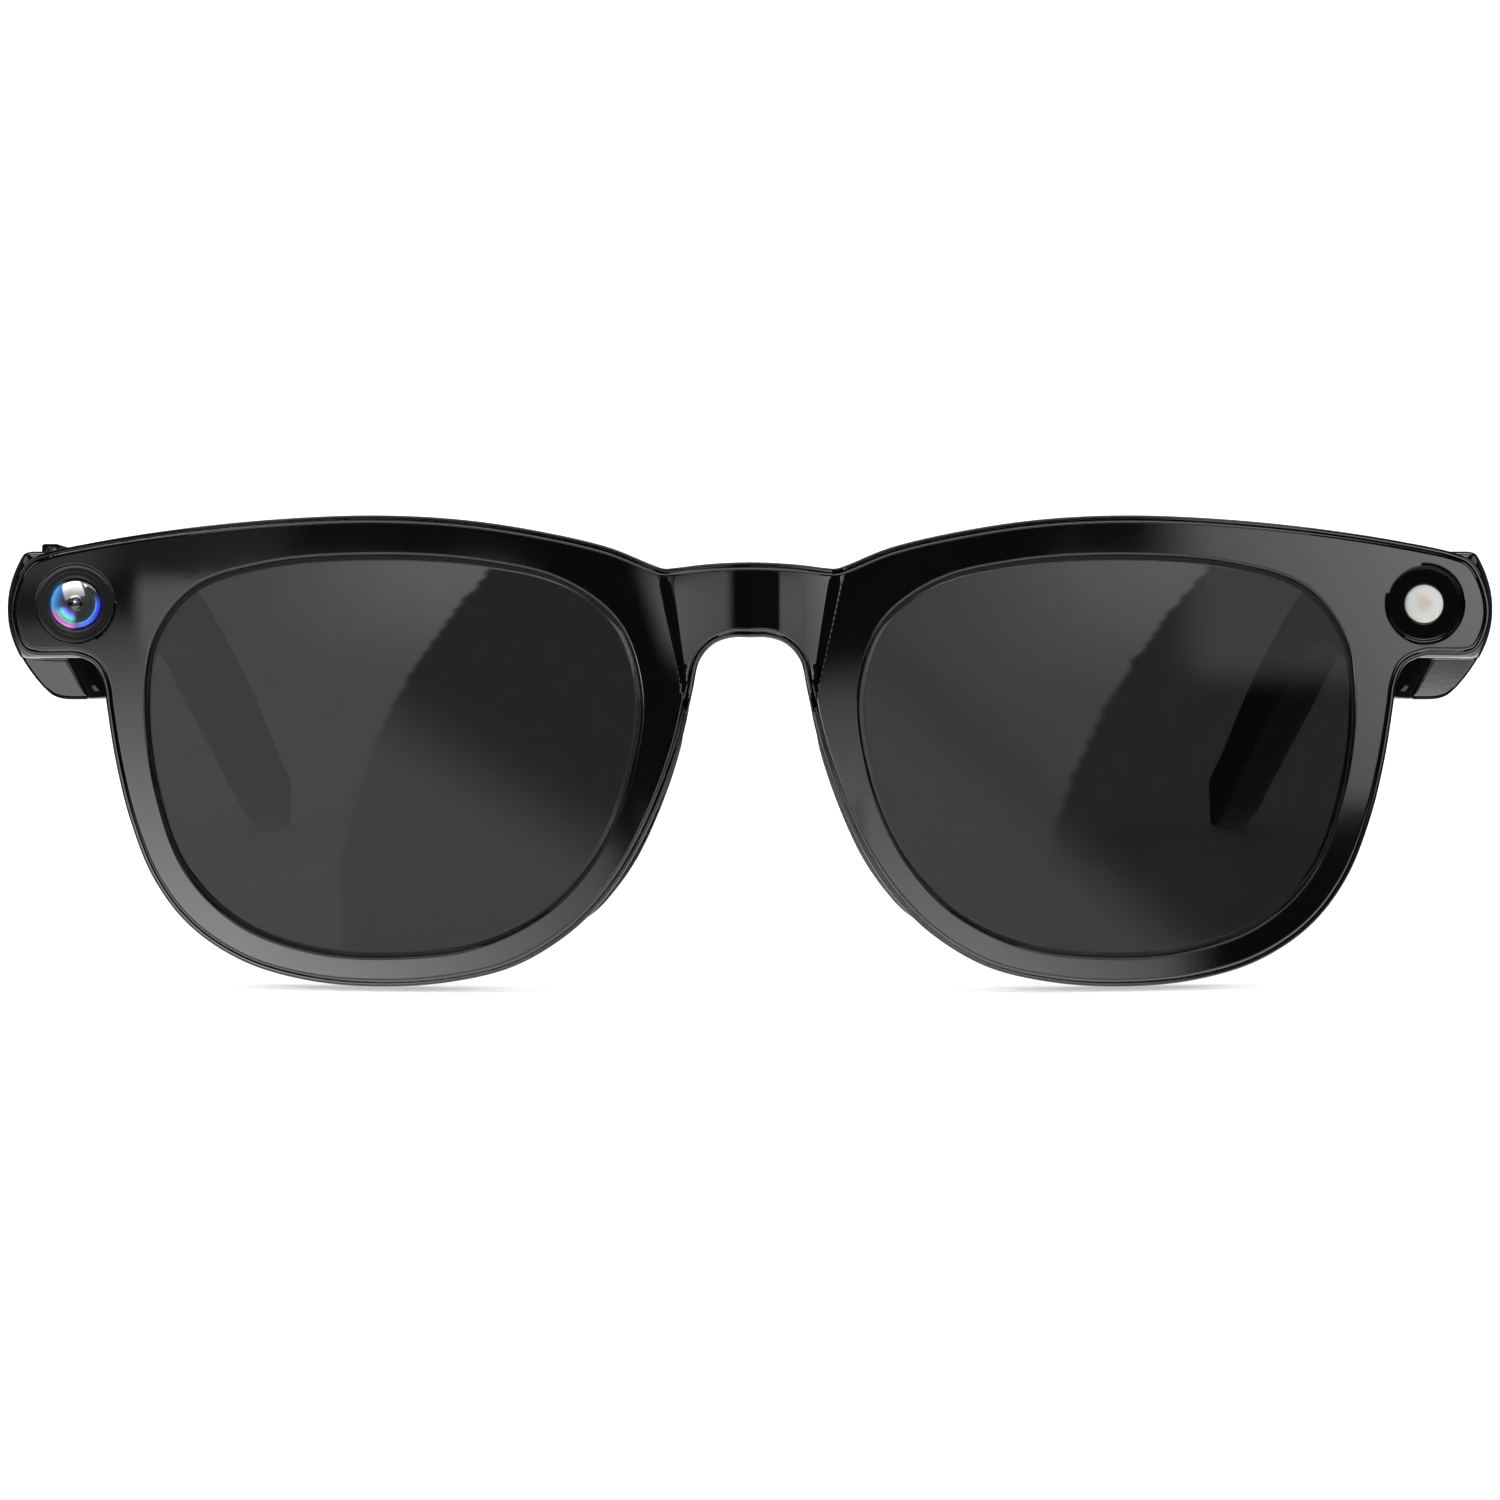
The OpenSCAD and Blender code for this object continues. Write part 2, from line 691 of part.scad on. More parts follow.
module microphone(side) {
    color([0.7, 0.7, 0.72])
        on_side(side) block([69.8, 31.5, 8.1], [71.8, 34.5, 9.2]);
}

// ---- Electronics of the right temple ----

contact_y = [60.4, 62.8, 65.2, 67.6];

// A board along the inner side of the hollow, as far back as y1.
module temple_board(side, y1) {
    color([0.05, 0.25, 0.12])
        on_side(side)
            difference() {
                block([69.5, 31.5, 10.3], [70.2, y1, 17.4]);
                for (y = leaf_screw_y) bar_x(y, 14.6, 1.3, 60, 80);
            }
}

module main_shield_can() {
    color([0.7, 0.7, 0.72])
        on_side(RIGHT) block([68.3, 40, 10.7], [69.5, 54, 17]);
}

module battery(side) {
    color([0.6, 0.6, 0.65])
        on_side(side) block([70.4, 40, 10.3], [72.4, 60, 17.3]);
}

// A film on the inside of the outer wall.
module touch_sensor() {
    film = [[74.05, 45], [74.2, 45], [72.95, 60], [72.8, 60]];
    color([0.75, 0.45, 0.1])
        on_side(RIGHT)
            translate([0, 0, 11.5]) linear_extrude(5) polygon(film);
}

module shutter_switch() {
    color([0.75, 0.75, 0.7])
        on_side(RIGHT) {
            block([button_x - 0.9, button_y - 2, 16], [button_x + 0.9, button_y + 2, switch_z]);
            bar_z(button_x, button_y, 0.7, switch_z, flange_z - button_travel - gap);
        }
}

module charging_contacts() {
    color([0.85, 0.65, 0.25])
        on_side(RIGHT)
            for (y = contact_y) {
                bar_x(y, 13.2, 0.75, land_x, 68);
                bar_x(y, 13.2, 0.9, 67.8 + gap, 68.2);
            }
}

module charging_magnets() {
    color([0.7, 0.7, 0.72])
        on_side(RIGHT)
            for (y = [57, 71]) block([67.85, y - 1, 11.9], [69.1, y + 1, 15]);
}

// A ribbed bar with a flange that keeps it in its slot.
module shutter_button() {
    rise = top_z + button_rise;
    low = [button_x - button_w / 2, button_y - button_l / 2, flange_z];
    high = [button_x + button_w / 2, button_y + button_l / 2, rise];
    color([0.04, 0.04, 0.04])
        on_side(RIGHT)
            difference() {
                union() {
                    block(low, high);
                    block(low - [0.5, 0.4, 0], [high[0] - 0.3, high[1] + 0.4, flange_z + 0.6]);
                }
                for (i = [-5:5])
                    translate([button_x, button_y + i * 0.7, rise + 0.05])
                        rotate([0, 90, 0]) cylinder(r = 0.2, h = button_w + 1, center = true, $fn = 16);
            }
}

stand() front_frame();
stand() front_fascia();
stand() lens(RIGHT);  // right_lens
stand() lens(LEFT);  // left_lens
stand() nose_pad(RIGHT);  // right_nose_pad
stand() nose_pad(LEFT);  // left_nose_pad
stand() camera_bezel();
stand() camera_cover_glass();
stand() camera_barrel();
stand() camera_lens_element();
stand() camera_sensor_board();
stand() lamp_bezel();
stand() lamp_diffuser();
stand() lamp_board();
stand() front_flex_cable();
stand() hinge_front_leaf(RIGHT);  // right_hinge_front_leaf
stand() hinge_front_leaf(LEFT);  // left_hinge_front_leaf
stand() hinge_pin(RIGHT);  // right_hinge_pin
stand() hinge_pin(LEFT);  // left_hinge_pin
stand() hinge_front_screws();
stand() temple_shell(RIGHT);  // right_temple_shell
stand() temple_cover(RIGHT);  // right_temple_cover
stand() hinge_temple_leaf(RIGHT);  // right_hinge_temple_leaf
stand() temple_screws(RIGHT);  // right_temple_screws
stand() temple_board(RIGHT, 61);  // main_board
stand() main_shield_can();
stand() battery(RIGHT);  // right_battery
stand() speaker(RIGHT);  // right_speaker
stand() speaker_mesh(RIGHT);  // right_speaker_mesh
stand() microphone(RIGHT);  // right_microphone
stand() touch_sensor();
stand() shutter_switch();
stand() charging_contacts();
stand() charging_magnets();
stand() tip_battery(RIGHT);  // right_tip_battery
stand() shutter_button();
stand() temple_shell(LEFT);  // left_temple_shell
stand() temple_cover(LEFT);  // left_temple_cover
stand() hinge_temple_leaf(LEFT);  // left_hinge_temple_leaf
stand() temple_screws(LEFT);  // left_temple_screws
stand() temple_board(LEFT, 42);  // left_board
stand() battery(LEFT);  // left_battery
stand() speaker(LEFT);  // left_speaker
stand() speaker_mesh(LEFT);  // left_speaker_mesh
stand() microphone(LEFT);  // left_microphone
stand() tip_battery(LEFT);  // left_tip_battery
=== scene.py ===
"""Looks for the smart glasses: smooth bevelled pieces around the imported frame, and a soft white studio.

Shapes are drawn in the worn position in millimetres: +X to the wearer's left, +Y towards the ears, +Z up.
row() turns and moves them into the frame's own metres, where the glasses lean back on rims and temple tips.
"""

import json
import math

import bmesh
import bpy
import numpy as np
from mathutils import Matrix, Vector
from mathutils.geometry import delaunay_2d_cdt


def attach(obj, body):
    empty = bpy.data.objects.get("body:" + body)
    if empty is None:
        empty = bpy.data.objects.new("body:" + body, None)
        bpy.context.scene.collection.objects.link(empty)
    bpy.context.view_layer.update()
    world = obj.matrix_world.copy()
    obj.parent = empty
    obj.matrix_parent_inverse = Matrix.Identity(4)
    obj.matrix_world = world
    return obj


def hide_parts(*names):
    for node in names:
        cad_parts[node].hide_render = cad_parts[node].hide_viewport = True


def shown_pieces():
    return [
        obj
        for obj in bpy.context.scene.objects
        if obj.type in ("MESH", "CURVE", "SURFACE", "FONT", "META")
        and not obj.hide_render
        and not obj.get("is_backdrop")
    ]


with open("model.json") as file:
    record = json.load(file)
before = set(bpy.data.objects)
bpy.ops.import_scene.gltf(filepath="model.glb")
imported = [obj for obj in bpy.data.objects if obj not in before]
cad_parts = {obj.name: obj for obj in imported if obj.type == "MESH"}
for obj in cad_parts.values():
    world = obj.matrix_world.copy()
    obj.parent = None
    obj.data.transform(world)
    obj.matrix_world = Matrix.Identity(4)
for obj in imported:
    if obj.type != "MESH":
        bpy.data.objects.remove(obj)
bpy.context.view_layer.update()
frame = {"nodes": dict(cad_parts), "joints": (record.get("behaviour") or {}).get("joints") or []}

MM = 0.001
LEFT, RIGHT = 1, -1
SIDES = (RIGHT, "right"), (LEFT, "left")

# ---- From the worn position to the frame ----

HINGE = Vector((67.3, 22.5, 14.6))
left_hinge = next(j for j in frame["joints"] if j["name"] == "left_temple_hinge")
SINE, COSINE = left_hinge["axis"][1], left_hinge["axis"][2]
LEAN = Matrix(((1, 0, 0), (0, COSINE, SINE), (0, -SINE, COSINE)))
SHIFT = Vector(left_hinge["pos_m"]) - LEAN @ HINGE * MM


def row(x, y, z):
    """A point of the worn position in the frame, in metres."""
    return LEAN @ Vector((x, y, z)) * MM + SHIFT


# ---- Camera: straight at the worn front, 600 mm away ----

VIEW_DISTANCE = 600
camera_data = bpy.data.cameras.new("camera")
camera_data.sensor_width = 36
camera_data.lens = 144
camera = bpy.data.objects.new("camera", camera_data)
camera.location = row(0, -VIEW_DISTANCE, 0)
camera.rotation_mode = "QUATERNION"
camera.rotation_quaternion = (LEAN @ Vector((0, 1, 0))).to_track_quat("-Z", "Y")
bpy.context.scene.collection.objects.link(camera)
bpy.context.scene.camera = camera
bpy.context.scene.view_settings.view_transform = "Standard"

# ---- Curves ----


def spline_point(p0, p1, p2, p3, t):
    """Point at share t between p1 and p2 of a centripetal Catmull-Rom spline."""
    t1 = (p1 - p0).length ** 0.5
    t2 = t1 + (p2 - p1).length ** 0.5
    t3 = t2 + (p3 - p2).length ** 0.5
    u = t1 + (t2 - t1) * t
    a1 = ((t1 - u) * p0 + u * p1) / t1
    a2 = ((t2 - u) * p1 + (u - t1) * p2) / (t2 - t1)
    a3 = ((t3 - u) * p2 + (u - t2) * p3) / (t3 - t2)
    b1 = ((t2 - u) * a1 + u * a2) / t2
    b2 = ((t3 - u) * a2 + (u - t1) * a3) / (t3 - t1)
    return ((t2 - u) * b1 + (u - t1) * b2) / (t2 - t1)


def spline(p, steps):
    """Points between the second of the Vectors p and the last but one, without the end."""
    return [spline_point(*p[i : i + 4], j / steps) for i in range(len(p) - 3) for j in range(steps)]


def closed_curve(points, steps):
    p = [Vector(q) for q in points]
    return spline([p[-1], *p, p[0], p[1]], steps)


def open_curve(points, steps):
    p = [Vector(q) for q in points]
    return [*spline([2 * p[0] - p[1], *p, 2 * p[-1] - p[-2]], steps), p[-1]]


def even(points, count, closed=False):
    """The same curve as count points at equal distances."""
    p = [*points, points[0]] if closed else points
    far = np.concatenate([[0], np.cumsum([(b - a).length for a, b in zip(p, p[1:])])])
    at = np.linspace(0, far[-1], count + 1)[:-1] if closed else np.linspace(0, far[-1], count)
    return [Vector(q) for q in np.stack([np.interp(at, far, [q[k] for q in p]) for k in (0, 1)], 1)]


def mitres(points):
    """For a clockwise outline, the inward move of each point for an inset of 1."""
    out = []
    for i, p in enumerate(points):
        u = (p - points[i - 1]).normalized()
        v = (points[(i + 1) % len(points)] - p).normalized()
        a, b = Vector((u.y, -u.x)), Vector((v.y, -v.x))
        out.append((a + b) / (1 + a.dot(b)))
    return out


def inside(points, outline):
    """Which of the points lie inside the outline."""
    x, y = points[:, 0], points[:, 1]
    odd = np.zeros(len(points), bool)
    for (x0, y0), (x1, y1) in zip(outline, np.roll(outline, -1, 0)):
        if y0 != y1:
            odd ^= ((y0 > y) != (y1 > y)) & (x < (x1 - x0) * (y - y0) / (y1 - y0) + x0)
    return odd


def blend(a, b, t):
    """From a to b as t goes from 0 to 1, gently at both ends."""
    t = min(max(t, 0), 1)
    return a + (b - a) * t * t * (3 - 2 * t)


# ---- The front's curved face ----

WRAP_SLOPE = math.tan(math.radians(5))
RIM_RADIUS = 250
BRIDGE_RADIUS = 30
BRIDGE_FORWARD = 0.7  # how far the bridge stands in front of the rims' own curve
LENS_X, LENS_Z = 36, -0.6


def rim_depth(x):
    return (x - LENS_X) * WRAP_SLOPE + (x - LENS_X) ** 2 / (2 * RIM_RADIUS)


CAD_CREASE_X, CAD_BRIDGE_RADIUS = 8, 26  # the rims start as deep as the CAD's bridge is at its crease
RIM_START = CAD_CREASE_X**2 / (2 * CAD_BRIDGE_RADIUS) - rim_depth(CAD_CREASE_X)
SHOULDER_SLOPE, SHOULDER_W = 0.1, 8  # each rim turns back a little more next to the crease
CREASE_Z = 8.4  # height at which the step beside the bridge runs from 6.5 to 7.35
TURN_IN, TURN_OUT = 0.2, 0.05  # shares of the step over which the slope changes at its two ends


def shoulder(off):
    """What the shoulder adds to the depth and the slope of a rim, that far from the crease."""
    rest = max(0.0, 1 - off / SHOULDER_W)
    return -SHOULDER_SLOPE * SHOULDER_W / 3 * rest**3, SHOULDER_SLOPE * rest**2


def crease(z):
    """Where the step beside the bridge starts and ends at height z. It slants outwards and widens upwards."""
    up = z - CREASE_Z
    return 6.5 + 0.14 * up, 7.35 + 0.22 * up


def bridge_face(x):
    """Depth and slope of the bridge at x."""
    return x * x / (2 * BRIDGE_RADIUS) - BRIDGE_FORWARD, x / BRIDGE_RADIUS


def rim_face(x, off):
    """Depth and slope of a rim at x, a point that far from the crease."""
    more, steeper = shoulder(off)
    return RIM_START + rim_depth(x) + more, WRAP_SLOPE + (x - LENS_X) / RIM_RADIUS + steeper


def step_face(x, x0, x1):
    """Depth and slope of the step from x0 to x1, whose slope is even between its two turns."""
    y0, slope0 = bridge_face(x0)
    y1, slope1 = rim_face(x1, 0)
    width = x1 - x0
    t = (x - x0) / width
    turns = (TURN_IN * slope0 + TURN_OUT * slope1) / 2
    steep = ((y1 - y0) / width - turns) / (1 - (TURN_IN + TURN_OUT) / 2)
    if t < TURN_IN:
        slope = slope0 + (steep - slope0) * t / TURN_IN
        return y0 + width * t * (slope0 + slope) / 2, slope
    if t < 1 - TURN_OUT:
        return y0 + width * (TURN_IN * (slope0 + steep) / 2 + (t - TURN_IN) * steep), steep
    slope = slope1 + (steep - slope1) * (1 - t) / TURN_OUT
    return y1 - width * (1 - t) * (slope1 + slope) / 2, slope


def face(x, z):
    """Depth of the front's face at x and height z, and its slope in x there."""
    x0, x1 = crease(z)
    far = abs(x)
    if far >= x1:
        y, slope = rim_face(far, far - x1)
    elif far <= x0:
        y, slope = bridge_face(far)
    else:
        y, slope = step_face(far, x0, x1)
    return y, math.copysign(1, x) * slope


def face_surface(x, z):
    """Depth and normal of the face. The normal leaves out how the step and its shoulder change with height."""
    y, slope = face(x, z)
    return y, Vector((slope, -1, 0)).normalized()


lens_turn = Vector((-math.sin(math.atan(WRAP_SLOPE)), math.cos(math.atan(WRAP_SLOPE)), 0))
LENS_RADIUS = 250
LENS_RECESS = 0.35
lens_centre = Vector((LENS_X, face(LENS_X, LENS_Z)[0] + LENS_RECESS, LENS_Z)) + LENS_RADIUS * lens_turn


def lens_surface(x, z):
    """Depth and normal of a lens, which is a part of a sphere."""
    dx, dz = x - lens_centre.x, z - lens_centre.z
    y = lens_centre.y - math.sqrt(LENS_RADIUS**2 - dx * dx - dz * dz)
    return y, (Vector((x, y, z)) - lens_centre).normalized()


# ---- Outlines shared with the CAD ----

# Clockwise, seen from the front: the wearer's left half of the front, and the left lens: (x, z).
half_outline = [
    (0, 18.8), (4.5, 18.6), (7.6, 18.25), (8.6, 18.2), (9.8, 18.6), (14, 20.3), (21, 21.95),
    (29, 23.15), (37.5, 23.6), (47, 23.3), (57, 22.4), (66, 21.1), (71.6, 19.95), (73.2, 19.2),
    (74.5, 17.2), (75.2, 14.2), (74.7, 11.6), (73.7, 10), (72.6, 9.6), (70, 9.55), (68.3, 9.5),
    (66.3, 8.6), (65.4, 6.6), (65.1, 4.5), (64.2, -1), (62.7, -7), (60.2, -13.1), (56.5, -17.8),
    (51.1, -21.3), (44.5, -23.2), (37.2, -23.8), (30, -23.3), (23.6, -21.7), (18.1, -18.4),
    (14.55, -14.85), (11.75, -10.8), (8.9, -4.9), (6.85, 1.05), (5.75, 6), (5.05, 9),
    (3.7, 10.6), (2, 11.25), (0, 11.3),
]
lens_edge = [
    (10.9, 5.5), (13.2, 12.7), (18.6, 16.9), (26.6, 18.9), (37.6, 19.6), (48.7, 18.8),
    (56.1, 16.4), (60, 11.5), (61, 4.5), (59.8, -4.5), (56.8, -12.3), (51.3, -17.6),
    (43.7, -20.3), (35.6, -20.8), (27.6, -19.8), (20.6, -16.4), (15.6, -11), (12.2, -3.5),
]
# A temple's top and bottom edge in side view: (y, z).
temple_top = [
    (22.45, 20.6), (45, 20.6), (70, 20.4), (88, 20.1), (98, 19.4), (106, 17.3), (115, 12.6),
    (127, 5.8), (136, 0.9), (143, -2), (148, -3.7), (150.2, -6),
]
temple_bottom = [
    (22.45, 5.2), (30, 5.4), (40, 5.5), (52, 6.4), (66, 8.7), (80, 11.2), (90, 12.4), (97, 12.1),
    (103, 10.2), (110, 6.3), (120, 0.7), (130, -4.7), (137, -8), (143, -9.4), (148.5, -8.6),
    (150.2, -6),
]
# A temple's outer and inner face in plan: (y, x).
temple_outer = [
    (22.45, 77), (40, 76.4), (60, 74.7), (80, 72.2), (95, 70.4), (105, 68.9), (120, 65.9),
    (135, 63.1), (150.5, 61.2),
]
temple_inner = [
    (22.45, 66.5), (60, 66.5), (85, 66.1), (97, 65.2), (108, 63.3), (120, 60.7), (135, 58.3),
    (150.5, 56.8),
]
PORT_X, PORT_Z, PORT_R = 68.3, 14.8, 4.1

mirrored_half = [(-x, z) for x, z in reversed(half_outline[1:-1])]
outline = even(closed_curve(half_outline + mirrored_half, 12), 900, closed=True)
lens_outline = even(closed_curve(lens_edge, 16), 360, closed=True)


def mirrored(points):
    """A clockwise outline on the other side, clockwise again."""
    return [Vector((-p.x, p.y)) for p in reversed(points)]


def port(x, z, r, start=0, end=0, step=0.0, count=180):
    """A clockwise circle whose radius grows by step between two angles in degrees."""
    out = []
    for i in range(count):
        turn = 360 - 360 * i / count
        grown = step if start < turn < end else 0
        a = math.radians(turn)
        out.append(Vector((x + (r + grown) * math.cos(a), z + (r + grown) * math.sin(a))))
    return out


# ---- Making pieces ----


HARD_EDGE = math.radians(35)


def add_piece(name, points, faces, body, paint, slot, side=LEFT, normals=None, stands_for=()):
    """A closed smooth piece from worn points drawn for the wearer's left. Without normals it has hard edges."""
    mesh = bpy.data.meshes.new(name)
    mesh.from_pydata([row(side * x, y, z) for x, y, z in points], [], faces)
    shell = bmesh.new()
    shell.from_mesh(mesh)
    bmesh.ops.recalc_face_normals(shell, faces=shell.faces)
    shell.to_mesh(mesh)
    shell.free()
    mesh.polygons.foreach_set("use_smooth", [True] * len(mesh.polygons))
    if normals:
        turned_normals = [LEAN @ Vector((side * n[0], n[1], n[2])) for n in normals]
        mesh.normals_split_custom_set_from_vertices(turned_normals)
    else:
        mesh.set_sharp_from_angle(angle=HARD_EDGE)
    mesh.materials.append(paint)
    piece = bpy.data.objects.new(name, mesh)
    bpy.context.scene.collection.objects.link(piece)
    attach(piece, body)
    if stands_for:
        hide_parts(*stands_for)
    return piece


GRID = 1.5  # spacing of the points inside a plate's faces
MARGIN = 0.4  # how far they stay from its edges


def crease_points():
    """Close points along the steps beside the bridge, which keep their bends straight."""
    shares = (-0.3, -0.12, 0, 0.07, 0.14, 0.2, 0.35, 0.5, 0.65, 0.8, 0.9, 0.95, 0.975, 1, 1.1, 1.25, 1.5)
    points = []
    for z in np.arange(3.4, 19, 0.6):
        x0, x1 = crease(z)
        for t in shares:
            x = x0 + (x1 - x0) * t
            points += [(x, z), (-x, z)]
    return np.array(points)


def off_crease(points):
    """Which points keep clear of the steps beside the bridge."""
    clear = []
    for x, z in points:
        x0, x1 = crease(z)
        clear.append(z < 2.5 or not x0 - 0.7 < abs(x) < x1 + 0.9)
    return np.array(clear)


def fill(rings, creased):
    """Triangles between an outline, the first ring, and its holes, the others; and the points added."""
    flat = [np.array([tuple(p) for p in ring]) for ring in rings]
    low, high = flat[0].min(0), flat[0].max(0)
    across, up = np.arange(low[0], high[0], GRID), np.arange(low[1], high[1], GRID)
    grid = np.array([(x, z) for x in across for z in up])
    if creased:
        grid = np.concatenate([grid[off_crease(grid)], crease_points()])
    keep = np.ones(len(grid), bool)
    for i, ring in enumerate(rings):
        room = [p + m * (MARGIN if i == 0 else -MARGIN) for p, m in zip(ring, mitres(ring))]
        within = inside(grid, np.array([tuple(p) for p in room]))
        keep &= within if i == 0 else ~within
    grid = grid[keep]
    coords = [Vector(p) for p in np.concatenate([*flat, grid])]
    edges, start = [], 0
    for ring in rings:
        n = len(ring)
        edges += [(start + i, start + (i + 1) % n) for i in range(n)]
        start += n
    verts, _, faces, origin, _, _ = delaunay_2d_cdt(coords, edges, [], 0, 1e-5)
    source = [ids[0] for ids in origin]
    centres = np.array([np.mean([tuple(verts[i]) for i in f], 0) for f in faces])
    keep = inside(centres, flat[0])
    for hole in flat[1:]:
        keep &= ~inside(centres, hole)
    return [tuple(source[i] for i in f) for f, k in zip(faces, keep) if k], [Vector(p) for p in grid]


def plate(name, loops, surface, body, paint, slot, creased=False, **where):
    """A closed plate on a curved surface. loops is the outline and then the holes, each with its edge profile:
    (inset into the material, depth behind the surface, angle of the normal from the front), front to back."""
    points, normals, faces, rings = [], [], [], []
    for i, (loop, profile) in enumerate(loops):
        sign = 1 if i == 0 else -1
        moves = mitres(loop)
        own = []
        for inset, depth, angle in profile:
            start = len(points)
            flat = [p + m * inset * sign for p, m in zip(loop, moves)]
            for p, m in zip(flat, moves):
                y, front = surface(p.x, p.y)
                away = -sign * m.normalized()
                a = math.radians(angle)
                normal = math.cos(a) * front + math.sin(a) * Vector((away.x, 0, away.y))
                points.append((p.x, y + depth, p.y))
                normals.append(normal.normalized())
            own.append((start, flat, depth))
        n = len(loop)
        for (a, _, _), (b, _, _) in zip(own, own[1:]):
            faces += [(a + k, a + (k + 1) % n, b + (k + 1) % n, b + k) for k in range(n)]
        rings.append(own)
    for end, facing in ((0, 1), (-1, -1)):
        ends = [own[end] for own in rings]
        triangles, added = fill([flat for _, flat, _ in ends], creased)
        index = [start + k for start, flat, _ in ends for k in range(len(flat))]
        for p in added:
            y, front = surface(p.x, p.y)
            index.append(len(points))
            points.append((p.x, y + ends[0][2], p.y))
            normals.append(front * facing)
        faces += [tuple(index[k] for k in f) for f in triangles]
    return add_piece(name, points, faces, body, paint, slot, normals=normals, **where)


def round_edge(inset, depth, radius_in, radius_down, start, end, steps=6):
    """Profile of an elliptical rounded edge. It is at inset and depth where it faces sideways, and radius_in
    further in and radius_down further out where it faces forward. Its angle goes from start to end."""
    out = []
    for i in range(steps + 1):
        angle = start + (end - start) * i / steps
        a = math.radians(angle)
        out.append((inset + radius_in * (1 - math.sin(a)), depth - radius_down * math.cos(a), angle))
    return out


def loft(name, rings, body, paint, slot, **where):
    """A closed tube through rings of equal length, its ends filled by a fan. Its normals are weighted by face
    area, so that flats between bevels look flat."""
    n = len(rings[0])
    points = [tuple(p) for ring in rings for p in ring]
    faces = []
    for a in range(0, n * (len(rings) - 1), n):
        faces += [(a + k, a + (k + 1) % n, a + n + (k + 1) % n, a + n + k) for k in range(n)]
    for ring, start in ((rings[0], 0), (rings[-1], (len(rings) - 1) * n)):
        points.append(tuple(sum((Vector(p) for p in ring), Vector((0, 0, 0))) / n))
        faces += [(start + k, start + (k + 1) % n, len(points) - 1) for k in range(n)]
    piece = add_piece(name, points, faces, body, paint, slot, **where)
    weighted = piece.modifiers.new("weighted", "WEIGHTED_NORMAL")
    weighted.keep_sharp = True
    return piece


def spin(profile, count, closed=False):
    """Points and faces of a surface of revolution from (radius, distance along the axis) pairs."""
    points, faces, starts = [], [], []
    for r, d in profile:
        starts.append(len(points))
        turns = [2 * math.pi * k / count for k in range(count if r else 1)]
        points += [(r * math.cos(a), r * math.sin(a), d) for a in turns]
    pairs = list(zip(range(len(profile)), range(1, len(profile))))
    if closed:
        pairs.append((len(profile) - 1, 0))
    for i, j in pairs:
        a, b = starts[i], starts[j]
        for k in range(count):
            m = (k + 1) % count
            if not profile[i][0]:
                faces.append((a, b + k, b + m))
            elif not profile[j][0]:
                faces.append((a + k, b, a + m))
            else:
                faces.append((a + k, b + k, b + m, a + m))
    return points, faces


def turned(name, profile, centre, body, paint, slot, **where):
    """A body of revolution about an axis that runs backwards. It closes onto the axis or onto itself."""
    points, faces = spin(profile, 96, closed=profile[0][0] != 0)
    points = [(centre[0] + u, centre[1] + d, centre[2] + v) for u, v, d in points]
    return add_piece(name, points, faces, body, paint, slot, **where)


def rounded(corners, radii, steps=5):
    """A polygon with each corner replaced by a curve that starts its radius away."""
    out = []
    n = len(corners)
    for i, (c, r) in enumerate(zip(corners, radii)):
        c, before, after = Vector(c), Vector(corners[i - 1]), Vector(corners[(i + 1) % n])
        if r == 0:
            out.append(c)
            continue
        p = c + (before - c).normalized() * min(r, (before - c).length * 0.49)
        q = c + (after - c).normalized() * min(r, (after - c).length * 0.49)
        for k in range(steps + 1):
            t = k / steps
            out.append(p * (1 - t) ** 2 + c * 2 * t * (1 - t) + q * t * t)
    return out


# ---- Paints ----


